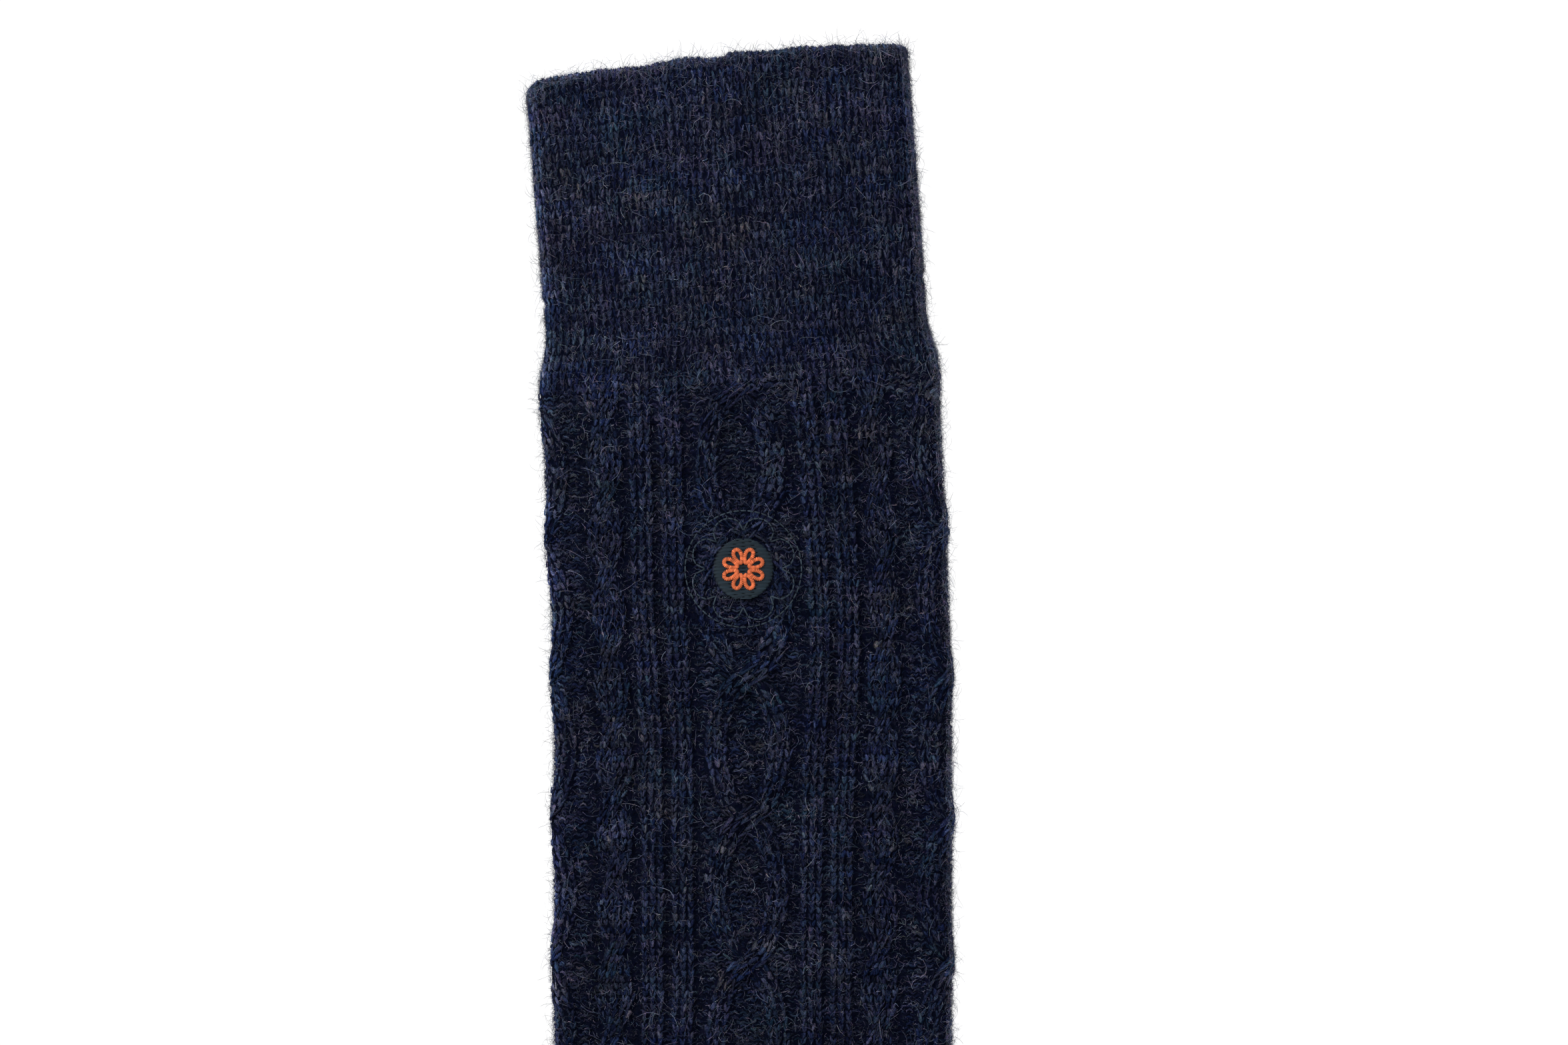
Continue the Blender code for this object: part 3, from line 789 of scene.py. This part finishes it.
# %% [markdown]
# ## The leg: ribs, troughs and purl ground
# A rib is three knit wales side by side. The single purl wale between two ribs sinks out of sight
# and reads as a dark line, which is what gives the leg its upright stripes. The relief alone
# casts too soft a shadow for that, so the sunk stitches also get painted shade, a darker colour.

# %% Stitches of the leg outside the cables
LEG_COURSES = 100
RIB_SPREAD = 0.06
STRAND_COVER = 1.25
SEAT_OVERLAP = 0.0026
leg_rows = CUFF_DEPTH + (np.arange(LEG_COURSES) + 0.5) * COURSE
leg_gauge = (WALE, (COURSE, COURSE))


def wales_in(pool, *ranges):
    """The wales of a pool whose chart place lies in one of some ranges."""
    place = chart_place(pool)
    return np.concatenate([pool[(place > low) & (place < high)] for low, high in ranges])


def off_seat(wales, rows):
    """The places that neither the emblem nor a cable's strand covers."""
    clear = from_emblem(wales, rows) > SEAT_RADIUS - SEAT_OVERLAP
    clear &= strand_distance(wales, rows) > STRAND_COVER
    return wales[clear], rows[clear]


def inside_oval(wales, rows):
    """Whether places lie between the two strands of a chain cable, where the ground is sunk."""
    return from_panel(wales) < np.abs(sway(rows))


def trough_painted_shade(wales):
    """Painted shade for the troughs: those left of the middle are painted darker than those right of
    it, and the outermost one on the left darkest of all."""
    painted_shade = np.where(signed(wales) > 0, 0.52, 0.36)
    return np.where((signed(wales) < 0) & (chart_place(wales) > 19), 0.30, painted_shade)


def ground_skin(wale, distance, lift):
    """The purl ground, which passes below the strands."""
    return leg_skin(wale, distance, lift, height=band_height(wale))


def rib_skin(wale, distance, lift):
    """The knit wales, spread a little towards the troughs that they lean over."""
    place = chart_place(wale)
    middle = np.where(place < GROOVE, *RIB_MIDDLES)
    side = np.where(np.mod(wale, WALES / 2) < QUARTER, 1, -1)
    return leg_skin(wale + side * (place - middle) * RIB_SPREAD, distance, lift)


layers = []
for pool in (UPPER_WALES, LOWER_WALES):
    dents = grid_of(wales_in(pool, (6, 7), (10, 11), (14, 15), (20, 21)), leg_rows)
    ground = off_seat(*grid_of(wales_in(pool, (0, 6), (21, 28)), leg_rows))
    leg = KNIT_LEG
    loops = (PURL_HEAD, PURL_FOOT)
    # Painted shade: the sunk dents and the purl ground get darker colours, darkest inside the chain's ovals
    # and on the lower layer's dents.
    dent_painted_shade = trough_painted_shade(dents[0])
    ground_painted_shade = np.where(inside_oval(*ground), 0.64, 0.78)
    if pool is LOWER_WALES:
        leg = HIDDEN_LEG
        loops = (HIDDEN_PURL,)
        dent_painted_shade = 0.42
        ground_painted_shade = 0.80
    ribs = grid_of(wales_in(pool, (7, 10), (11, 14)), leg_rows)
    layer = [knit(rib_skin, *ribs, *leg_gauge, rng, leg)]
    layer.append(purl(ground_skin, *dents, *leg_gauge, rng, dent_painted_shade, loops))
    layer.append(purl(ground_skin, *ground, *leg_gauge, rng, ground_painted_shade, loops))
    layers.append(layer)
leg_parts, lower_parts = layers

# %% [markdown]
# ## The cables
# A cable is made by knitting some stitches out of turn, so that one strand crosses in front of
# another. In a chain cable two strands of three wales part, run along an oval and cross again.
# In a rope cable two narrow strands always cross the same way, so they look twisted together.
# Each strand is laid here as a small strip of knitting that follows its own path over the leg.

# %% Strands that follow their own path
ROPE_PITCH = 0.0173
ROPE_REACH = 1.25
ROPE_HEIGHT = 0.0008
CHAIN_MIDDLES = (0.0, 28.0, 56.0, 84.0)
ROPE_MIDDLES = (17.5, 38.5, 73.5, 94.5)
CHAIN_OFFSETS = (-1.0, 0.0, 1.0)
ROPE_OFFSETS = (-0.85, 0.0, 0.85)
STEEPEST = 1.6
CROSSING_RISE = 0.0009
STRAND_JITTER = 0.18


def rope_phase(distance):
    """How many crossings of a rope cable lie above a distance."""
    return (distance - CUFF_DEPTH) / ROPE_PITCH


def chain_lay(middle, sign, offset, distance, lift):
    """How one strand of a chain cable lies: it swings about a middle wale, rises where it crosses
    in front and sinks where it crosses behind."""
    slope = sign * (sway(distance + PROBE) - sway(distance - PROBE)) / (2 * PROBE) * WALE
    slope = np.clip(slope, -STEEPEST, STEEPEST)
    size = np.sqrt(1 + slope**2)
    wale = middle + sign * sway(distance) + offset / size
    place = distance - offset * WALE * slope / size
    turn = np.pi * oval_phase(distance)
    lean = CROSSING_RISE * np.sin(turn) * sign * np.exp(-(np.cos(turn) ** 2) / 0.10)
    lean = np.where(lean > 0, 0.3 * lean, lean)
    rise = STRAND_HEIGHT * (1 - 0.32 * (offset / 1.5) ** 2)
    rise = rise + np.maximum(lean, -0.8 * STRAND_HEIGHT)
    return leg_skin(wale, place, lift, height=np.maximum(0.0, rise))


def rope_lay(middle, sign, offset, distance, lift):
    """How one strand of a rope cable lies."""
    turn = np.pi * rope_phase(distance)
    wale = middle + sign * ROPE_REACH * np.cos(turn) + offset
    rise = ROPE_HEIGHT + 0.0003 * sign * np.sin(turn) - 0.00012 * offset**2
    return leg_skin(wale, distance, lift, height=np.maximum(rise, 0.0))


def add_strands(make_lay, phase_at, middles, offsets, rows):
    """Both strands of each cable as knit stitches, with painted shade where they cross behind."""
    offsets, places = grid_of(offsets, rows)
    for middle in middles:
        on_top = is_upper(middle)
        leg = KNIT_LEG if on_top else HIDDEN_LEG
        for sign in (1, -1):
            lay = partial(make_lay, middle, sign)
            strand = knit(lay, offsets, places, *leg_gauge, rng, leg, STRAND_JITTER)
            looks = strand[2]
            turn = np.pi * phase_at(places)
            # Painted shade on the stitches where a strand passes behind the other.
            hidden = np.clip(-np.sin(turn) * sign, 0, 1) * np.exp(-(np.cos(turn) ** 2) / 0.12)
            painted_shade = np.repeat(1 - 0.55 * hidden, len(looks) // (2 * len(places)))
            looks[:, :3] *= np.tile(painted_shade, 2)[:, None]
            (leg_parts if on_top else lower_parts).append(strand)


add_strands(chain_lay, oval_phase, CHAIN_MIDDLES, CHAIN_OFFSETS, leg_rows[1:])
add_strands(rope_lay, rope_phase, ROPE_MIDDLES, ROPE_OFFSETS, leg_rows)
add_piece("leg_stitches", leg_parts, ("leg",))
add_piece("leg_back_stitches", lower_parts)

# %% [markdown]
# ## Heel, foot and toe
# Below the cables the sock is plain stockinette. Each wale of the ankle turns with the tube, so
# the wales at the heel are long and those at the instep are short. A real heel is worked in short
# courses for this, so each wale here gets as many stitches as fit its own length. Overcast
# stitches close the toe's end.

# %% Stitches of the heel, the foot and the toe
FOOT_WALE = 0.00157
FOOT_COURSES = 59
TOE_COURSES = 27
CAP_COURSES = 2
TOE_EDGE = 1.6
ankle_steps = np.linspace(0, 1, 41)
heel_parts = []
foot_parts = []
for wale in ALL_WALES:
    line = ankle_skin(np.full(41, wale), ankle_steps, np.zeros(41))
    lengths = np.linalg.norm(np.diff(line, axis=0), axis=1)
    total = lengths.sum()
    count = int(round(total / COURSE))
    shares = (np.arange(count) + 0.5) / count
    turns = np.interp(shares * total, np.append(0, np.cumsum(lengths)), ankle_steps)
    leg = PLAIN_LEG if is_upper(wale) else HIDDEN_LEG
    part = knit(ankle_skin, np.full(count, wale), turns, WALE, (1 / count, COURSE), rng, leg)
    (heel_parts if wale < WALES / 2 else foot_parts).append(part)
foot_rows = (np.arange(FOOT_COURSES) + 0.5) * FOOT_LENGTH / FOOT_COURSES
foot_gauge = (FOOT_WALE, (COURSE, COURSE))
for pool, leg in ((UPPER_WALES, PLAIN_LEG), (LOWER_WALES, HIDDEN_LEG)):
    foot_parts.append(knit(foot_skin, *grid_of(pool, foot_rows), *foot_gauge, rng, leg))

toe_courses = np.arange(TOE_COURSES + CAP_COURSES) + 0.5
toe_wales, toe_places = grid_of(ALL_WALES, FOOT_LENGTH + toe_courses * TOE_LENGTH / TOE_COURSES)
share = perimeter(foot_line(toe_places)) / perimeter(foot_line(np.zeros_like(toe_places)))
toe_place = chart_place(toe_wales)
kept = (toe_place < QUARTER * share - TOE_EDGE) | (toe_place > QUARTER - TOE_EDGE)
toe_skin = partial(foot_skin, keep_width=True)
toe_parts = []
for layer, leg in ((is_upper(toe_wales), PLAIN_LEG), (~is_upper(toe_wales), HIDDEN_LEG)):
    chosen = kept & layer
    part = knit(toe_skin, toe_wales[chosen], toe_places[chosen], *foot_gauge, rng, leg)
    toe_parts.append(part)

# %% Overcast stitches of the toe's seam
SEAM_WALE = 0.0015
SEAM_COURSE = 0.0010
SEAM_REACH = 0.0006
SEAM_STITCH = curve((-20, -10, 0, 10, 20), (-110, -60, 0, 60, 110), (30, 5, 0, 5, 30), (12, 30, 36, 30, 12))


def seam_lay(offset, place, lift):
    """Stitches across the seam. place is how far over the seam, in metres, from the middle."""
    line = foot_line(np.full(np.shape(offset), TOE_END))
    middle_x, middle_y, across_x, across_y, half, _ = line
    turn = place / SEAM_COURSE
    across = offset * SEAM_WALE
    reach = cap_bulge(across / half) + 0.0001 + (SEAM_REACH + lift) * np.cos(turn)
    x = middle_x + across_x * across + across_y * reach
    y = middle_y + across_y * across - across_x * reach
    return np.stack([x, y, SEAM_Z - (0.0010 + lift) * np.sin(turn)], axis=-1)


seam_wales = np.arange(-11.4, 11.5, 0.62)
seam_gauge = (SEAM_WALE, (SEAM_COURSE, SEAM_COURSE))
middle_rows = np.zeros(len(seam_wales))
toe_parts.append(
    grain_mesh(seam_lay, seam_wales, middle_rows, seam_wales, SEAM_STITCH, *seam_gauge, rng)
)
add_piece("heel_stitches", heel_parts, ("heel",))
add_piece("foot_stitches", foot_parts, ("foot",))

# %% [markdown]
# ## The cloth behind the stitches
# Between the stitches one looks into the depth of the cloth, where more yarn closes it. A plain
# dark layer just below the stitches stands for that yarn. Its colour is partly the navy yarn's
# and partly painted shade, far darker than the stitches, for the shade deep in the cloth. It has
# an inner face for the tube's hollow, so light never shines through the sock.

# %% The closed layer below the stitches
UNDER = -0.00060
CUFF_UNDER = -0.00045
# The navy yarn with painted shade, much darker than the stitches.
DEEP_YARN_AND_SHADE_COLOUR = np.array([0.0014, 0.0022, 0.0080])


def skin_grid(lay, wales, rows, lift):
    """A plain sheet below the stitches, closed round the tube if its wales go all the way."""
    a, b = np.meshgrid(wales, rows)
    points = lay(a, b, np.full(a.shape, lift))
    index = np.arange(a.size).reshape(a.shape)
    if wales[-1] - wales[0] >= WALES - 3:
        index = np.hstack([index, index[:, :1]])
    cells = [index[:-1, :-1], index[1:, :-1], index[1:, 1:], index[:-1, 1:]]
    quads = np.stack(cells, axis=-1).reshape(-1, 4)
    faces = np.concatenate([quads[:, (0, 1, 2)], quads[:, (0, 2, 3)]])
    return points.reshape(-1, 3), faces, plain_look(np.broadcast_to(DEEP_YARN_AND_SHADE_COLOUR, (a.size, 3)))


def leg_under(wale, distance, lift):
    """The leg's ground, which lies closer below the stitches round the folds."""
    return leg_skin(wale, distance, lift * (1 - 0.5 * np.exp(-((past_fold(wale) / 4) ** 2))))


ring = np.arange(0, WALES, 0.5)
heel_half = np.arange(0, WALES / 2 + 1)
ankle_turns = np.linspace(0, 1, 50)
rim_places = np.linspace(-0.0040, 0.0010, 16)
cuff_places = np.concatenate([[-0.0200], rim_places, np.linspace(0.0020, CUFF_DEPTH, 46)])
leg_places = np.linspace(CUFF_DEPTH, LEG_END, 120)
toe_ends = np.linspace(FOOT_LENGTH, TOE_END + CAP_ARC, 30)
inner_points, inner_faces, inner_looks = skin_grid(
    leg_skin, ring[::4], np.linspace(0.004, LEG_END, 40), -WALL
)
GROUNDS = {
    "cuff_ground": [skin_grid(cuff_skin, ring, cuff_places, CUFF_UNDER)],
    "leg_ground": [
        skin_grid(leg_under, ring, leg_places, UNDER),
        (inner_points, inner_faces[:, ::-1], inner_looks),
    ],
    "heel_ground": [skin_grid(ankle_skin, heel_half, ankle_turns, UNDER)],
    "foot_ground": [
        skin_grid(ankle_skin, heel_half + WALES / 2, ankle_turns, UNDER),
        skin_grid(foot_skin, ring[::2], np.linspace(0, FOOT_LENGTH, 20), UNDER),
    ],
}
for name, parts in GROUNDS.items():
    add_piece(name, parts, material=loose_wool)
toe_parts.append(skin_grid(foot_skin, ring[::2], toe_ends, UNDER))
add_piece("toe_stitches", toe_parts, ("toe",))

# %% [markdown]
# ## Loose fibres
# Wool fibres are short and crimped, and many work loose. They blur every edge of the sock, and
# the palest of them show as thin curls. Blender's hair could draw them, but hair isn't exported
# with the mesh. So each fibre is a narrow ribbon of a few pieces that starts in the cloth, bends
# at random and ends in a point.

# %% Fibres
FIBRE_THICKNESS = 0.000056
GREY_WOOL = np.array([0.032, 0.035, 0.046])
LOWEST_FIBRE = 0.0001


def unit(vectors):
    """Vectors scaled to a length of one."""
    return vectors / (np.linalg.norm(vectors, axis=1, keepdims=True) + 1e-12)


def fibres(lay, wales, rows, length, stand, curl, width, colour, bends, rng):
    """Tapered ribbons rooted at the given places. stand is how steeply they leave the cloth, from
    0 flat to 1 upright, and curl is how far they turn at each of their bends."""
    count = len(wales)
    zero = np.zeros(count)
    point = lay(wales, rows, zero - 0.0001)
    east = unit(lay(wales + 0.1, rows, zero) - lay(wales - 0.1, rows, zero))
    up = unit(lay(wales, rows, zero + 0.0005) - lay(wales, rows, zero))
    north = np.cross(up, east)
    heading = rng.uniform(0, 2 * np.pi, count)
    bend = rng.normal(size=count) * curl
    rise = np.minimum(stand * rng.uniform(0.2, 1.0, count), 0.95)
    centre = [point]
    ways = []
    for k in range(bends):
        flat = np.cos(heading)[:, None] * east + np.sin(heading)[:, None] * north
        tilt = rise * (1 - 1.35 * k / bends)
        way = flat * np.sqrt(np.maximum(0.05, 1 - tilt**2))[:, None] + up * tilt[:, None]
        point = point + way * (length / bends)[:, None]
        centre.append(point)
        ways.append(way)
        heading = heading + bend + rng.normal(size=count) * 0.35 * curl
    roll = rng.uniform(-0.9, 0.9, count)[:, None]
    corners = []
    for k in range(bends):
        side = unit(np.cross(ways[k], up)) * np.cos(roll) + up * np.sin(roll)
        half = width[:, None] * (1 - 0.35 * k / bends) / 2
        corners += [centre[k] - side * half, centre[k] + side * half]
    points = np.stack([*corners, centre[bends]], axis=1)
    pattern = []
    for k in range(0, 2 * bends - 2, 2):
        pattern += [(k, k + 1, k + 3), (k, k + 3, k + 2)]
    pattern.append((2 * bends - 2, 2 * bends - 1, 2 * bends))
    size = 2 * bends + 1
    low = points[..., 2] < LOWEST_FIBRE
    raised = LOWEST_FIBRE + rng.uniform(0, 0.0004, low.shape)
    points[..., 2] = np.where(low, raised, points[..., 2])
    looks = plain_look(np.repeat(colour, size, axis=0))
    return points.reshape(-1, 3), repeated(pattern, count, size), looks


def fibre_set(rng, lay, rows, wales, short, long, stand_and_painted_light=0.0):
    """Random fibres between two rows and between two wales: many short dark ones and some that
    are long, curled and paler. The last value makes them stand off the cloth and also paints light
    on them, a lighter colour for the table's glow that they catch round the folds."""
    parts = []
    for count, bends, lengths, pale, curl, stand in (
        (short, 2, (0.0006, 0.0018), (0.5, 4.0), 0.9, 0.55 + stand_and_painted_light),
        (long, 4, (0.0025, 0.0060), (1.2, 3.8), 0.45, 0.40 + stand_and_painted_light),
    ):
        at_wale = rng.uniform(*wales, count)
        at_row = rng.uniform(*rows, count)
        root = lay(at_wale, at_row, np.zeros(count))
        base = melange(root[:, 0], root[:, 1], rng.uniform(0, 4000, count), rng)
        grey = GREY_WOOL * (base.mean(1) / 0.02)[:, None]
        # Painted light: fibres that stand off the cloth, round the folds and on the rim, are made lighter.
        colour = (0.45 * base + 0.55 * grey) * rng.uniform(*pale, count)[:, None] * (1 + stand_and_painted_light)
        length = rng.uniform(*lengths, count)
        width = FIBRE_THICKNESS * rng.uniform(0.8, 1.4, count)
        part = fibres(lay, at_wale, at_row, length, stand, curl, width, colour, bends, rng)
        parts.append(part)
    return joined(parts)


def rim_skin(wale, cloth, lift):
    """The rolled rim, where the fibres start deeper, between the wales."""
    return cuff_skin(wale, cloth, lift - 0.0005)


# %% Where the fibres grow
TOP_WALES = (-31, 31)
BACK_EDGE = (26.5, 30.5)
FRONT_EDGE = (-30.5, -26.5)
cuff_span = (0.001, CUFF_DEPTH)
leg_span = (CUFF_DEPTH, LEG_END)
toe_span = (FOOT_LENGTH, TOE_END + 0.003)
# The last value of the fold and rim sets makes their fibres stand up and adds painted light.
FUZZ = {
    "cuff_fuzz": [
        (leg_skin, cuff_span, TOP_WALES, 13000, 900),
        (leg_skin, cuff_span, BACK_EDGE, 6500, 600, 0.4),
        (leg_skin, cuff_span, FRONT_EDGE, 6500, 600, 0.4),
        (rim_skin, (-0.0032, 0.0006), TOP_WALES, 7000, 900, 0.3),
    ],
    "leg_fuzz": [
        (leg_skin, leg_span, TOP_WALES, 24000, 2000),
        (leg_skin, leg_span, BACK_EDGE, 12000, 1200, 0.4),
        (leg_skin, leg_span, FRONT_EDGE, 12000, 1200, 0.4),
    ],
    "heel_fuzz": [(ankle_skin, (0, 1), (0, 33), 6000, 500)],
    "foot_fuzz": [
        (ankle_skin, (0, 1), (79, 112), 3000, 250),
        (foot_skin, (0, FOOT_LENGTH), TOP_WALES, 9000, 700),
        (foot_skin, toe_span, TOP_WALES, 4000, 300),
    ],
}
hair_rng = np.random.default_rng(23)
for name, sets in FUZZ.items():
    parts = [fibre_set(hair_rng, *values) for values in sets]
    add_piece(name, parts, material=loose_wool)

# %% [markdown]
# ## The emblem
# The emblem is machine embroidery: a round ground filled with rows of short dark teal stitches, a
# flower on it whose eight petals are outlined by short orange stitches laid across the outline,
# and thin teal stitches in a ring and a scalloped line around it. A picture could be painted on
# the leg, but thread stands up and shines. So each stitch is one smooth thread with its own arch.

# %% Threads of the emblem
emblem_top = leg_skin(np.array([0.0]), np.array([CUFF_DEPTH + EMBLEM_DISTANCE]), np.array([0.0]))[0]
TEAL = (0.0125, 0.0240, 0.0350)
ORANGE = (0.66, 0.150, 0.055)
PALE_TEAL = (0.0280, 0.0430, 0.0600)
# Painted shade: each thread is darker at its ends and along its sides.
THREAD_PAINTED_SHADES = (0.5, 0.6, 1, 0.6, 0.7, 1, 0.7, 0.6, 1, 0.6, 0.5)
thread_rng = np.random.default_rng(5)


def threads(starts, ends, height, arch, half, colour, rng, spread=0.15):
    """Straight threads between pairs of points, each a shallow arch. The points are counted from
    the emblem's middle, and height is above its seat, one value or one for each thread."""
    count = len(starts)
    shares = np.array([0.0, 0.12, 0.5, 0.88, 1.0])
    rise = np.array([0.0, 0.8, 1.0, 0.8, 0.0]) * arch
    way = ends - starts
    size = np.linalg.norm(way, axis=1, keepdims=True) + 1e-9
    side = np.stack([-way[:, 1], way[:, 0]], axis=1) / size
    height = np.broadcast_to(height, (count,))
    columns = []
    for k, share in enumerate(shares):
        centre = starts + way * share
        for s in (0,) if k in (0, 4) else (-1, 0, 1):
            z = height + rise[k] - (half * 0.9 if s else 0.0)
            columns.append(np.column_stack([centre + side * s * half, z]))
    points = np.stack(columns, axis=1) + emblem_top
    faces = [(0, 2, 1), (0, 3, 2), (10, 8, 9), (10, 7, 8)]
    for a in (1, 4):
        faces += [(a, a + 4, a + 3), (a, a + 1, a + 4), (a + 1, a + 5, a + 4), (a + 1, a + 2, a + 5)]
    tone = np.exp(spread * rng.normal(size=(count, 1, 1)))
    colours = np.array(colour)[None, None] * tone * np.array(THREAD_PAINTED_SHADES)[None, :, None]
    return points.reshape(-1, 3), repeated(faces, count, 11), plain_look(colours.reshape(-1, 3))


def polar(radius, angle):
    """Points from radii and angles."""
    return np.stack([radius * np.cos(angle), radius * np.sin(angle)], axis=-1)


# %% The round ground
PATCH_RADIUS = 0.0069
THREAD_SPACING = 0.00027
DISC_SIDES = 24
DISC_HEIGHT = 0.0006
lines = np.arange(-PATCH_RADIUS + 0.0003, PATCH_RADIUS - 0.0002, THREAD_SPACING)
reach = np.sqrt(PATCH_RADIUS**2 - lines**2)
joints = reach * 0.5 * (np.arange(len(lines)) % 3 - 1)
patch_parts = []
for side in (-1, 1):
    begin = np.column_stack([joints + 0.0001 * side, lines])
    end = np.column_stack([side * reach, lines])
    patch_parts.append(threads(begin, end, 0.0007, 0.0003, 0.00016, TEAL, thread_rng))
turns = np.linspace(0, 2 * np.pi, DISC_SIDES + 1)[:-1]
rim = np.column_stack([polar(PATCH_RADIUS - 0.0004, turns), np.full(DISC_SIDES, DISC_HEIGHT)])
disc_points = np.vstack([[0, 0, DISC_HEIGHT], rim]) + emblem_top
disc_faces = np.array([(0, 1 + i, 1 + (i + 1) % DISC_SIDES) for i in range(DISC_SIDES)])
# The disc below the threads is painted shade: teal at 0.4, darker than the threads, for the shade between
# them.
disc = (disc_points, disc_faces, plain_look(np.full((DISC_SIDES + 1, 3), TEAL) * 0.4))
add_piece("emblem_ground", [*patch_parts, disc], ("emblem_patch",), teal_thread)

# %% The flower
PETALS = 8
STROKE = 0.00095
INNER_END = 0.0010
MOTIF_RADIUS = 0.0051
PETAL_HALF_WIDTH = 0.0013
long_reach = (MOTIF_RADIUS - INNER_END) / 2 - STROKE / 2
wide_reach = PETAL_HALF_WIDTH - STROKE / 2
steps = np.linspace(0, 2 * np.pi, 27)[:-1]
path_out = (MOTIF_RADIUS + INNER_END) / 2 + long_reach * np.cos(steps)
path_side = wide_reach * np.sin(steps) * (1 + 0.30 * np.cos(steps))
petal_parts = []
for n in range(PETALS):
    middle = 2 * np.pi * (n + 0.5) / PETALS
    path = path_out[:, None] * polar(1.0, middle) + path_side[:, None] * polar(1.0, middle + np.pi / 2)
    flow = np.roll(path, -1, axis=0) - np.roll(path, 1, axis=0)
    flow /= np.linalg.norm(flow, axis=1, keepdims=True)
    stroke = np.column_stack([-flow[:, 1], flow[:, 0]]) + 0.25 * flow
    begin = path - stroke * STROKE / 2
    finish = path + stroke * STROKE / 2
    petal_parts.append(threads(begin, finish, 0.0010, 0.0005, 0.00017, ORANGE, thread_rng, 0.22))
add_piece("emblem_flower", petal_parts, ("emblem_motif",), orange_thread)

# %% The ring and the scalloped line
RING_RADIUS = 0.0131
RING_STITCHES = 52
SCALLOP_STITCHES = 64


def on_cloth(points):
    """Heights of the cloth's skin, above the emblem's seat, below points counted from the
    emblem's middle."""
    heights = []
    trial = np.arange(-12, 12.01, 0.25)
    for x, y in points:
        down = np.full(trial.shape, CUFF_DEPTH + EMBLEM_DISTANCE - y)
        skin = leg_skin(trial, down, np.zeros(trial.shape))
        heights.append(np.interp(x + emblem_top[0], skin[:, 0], skin[:, 2]) - emblem_top[2])
    return np.array(heights)


ring_turns = np.arange(RING_STITCHES) / RING_STITCHES * 2 * np.pi
half_turn = 0.45 * 2 * np.pi / RING_STITCHES
scallop_turns = np.arange(SCALLOP_STITCHES + 1) / SCALLOP_STITCHES * 2 * np.pi
scallop_radius = 0.0086 + 0.0034 * np.sqrt(np.abs(np.sin(4 * scallop_turns)))
scallops = polar(scallop_radius, scallop_turns)
run_start = np.vstack([polar(RING_RADIUS, ring_turns - half_turn), scallops[:-1]])
run_end = np.vstack([polar(RING_RADIUS, ring_turns + half_turn), scallops[1:]])
run_height = np.maximum(on_cloth(run_start), on_cloth(run_end)) + 0.0001
running = threads(run_start, run_end, run_height, 0.00042, 0.00015, PALE_TEAL, thread_rng)
add_piece("emblem_ring", [running], (), teal_thread)

# %% [markdown]
# ## Table, light and camera
# The sock lies on a white surface that glows evenly, as in a catalogue picture. A bright sky and
# a large soft lamp at the upper left light the knitting, so the ribs cast faint shadows to the
# right. The camera looks straight down through a long lens.

# %% The stage
WHITE = (1, 1, 1, 1)
GLOW = 1.05
SKY_STRENGTH = 0.75
LAMP_ENERGY = 9
LAMP_SIZE = 0.5
CAMERA_HEIGHT = 1.5
VIEWED_HEIGHT = 0.010
VIEW_WIDTH = 0.3528
SENSOR_WIDTH = 36
bpy.ops.mesh.primitive_plane_add(size=6, location=(0, 0, -0.0002))
table_top = bpy.context.active_object
table_top.name = "table_top"
white, tree, shader = new_material("white_table")
tree.nodes.remove(shader)
glow = add_node(tree, "Emission", {"Color": WHITE, "Strength": GLOW})
set_inputs(tree.nodes["Material Output"], {"Surface": glow.outputs["Emission"]})
table_top.data.materials.append(white)

scene = bpy.context.scene
world = bpy.data.worlds.new("sky")
world.use_nodes = True
set_inputs(world.node_tree.nodes["Background"], {"Color": WHITE, "Strength": SKY_STRENGTH})
scene.world = world
lamp_data = bpy.data.lights.new("window", "AREA")
lamp_data.energy = LAMP_ENERGY
lamp_data.size = LAMP_SIZE
lamp = bpy.data.objects.new("window", lamp_data)
lamp.location = (-0.55, 0.65, 0.75)
aim = (np.array([0.0, 0.05, 0.0]) - np.array(lamp.location)).tolist()
lamp.rotation_euler = Vector(aim).to_track_quat("-Z", "Y").to_euler()
scene.collection.objects.link(lamp)

camera_data = bpy.data.cameras.new("camera")
camera = bpy.data.objects.new("camera", camera_data)
camera.location = (0.0069, 0.0447, CAMERA_HEIGHT)
camera_data.sensor_width = SENSOR_WIDTH
camera_data.lens = SENSOR_WIDTH * (CAMERA_HEIGHT - VIEWED_HEIGHT) / VIEW_WIDTH
camera_data.clip_end = 10
scene.collection.objects.link(camera)
scene.camera = camera
scene.view_settings.view_transform = "Standard"

# %% [markdown]
# ## Triangles in all
# The last step prints how many triangles the pieces added here have together.

# %% Triangles in all
print("triangles in all", sum(TRIANGLES.values()))
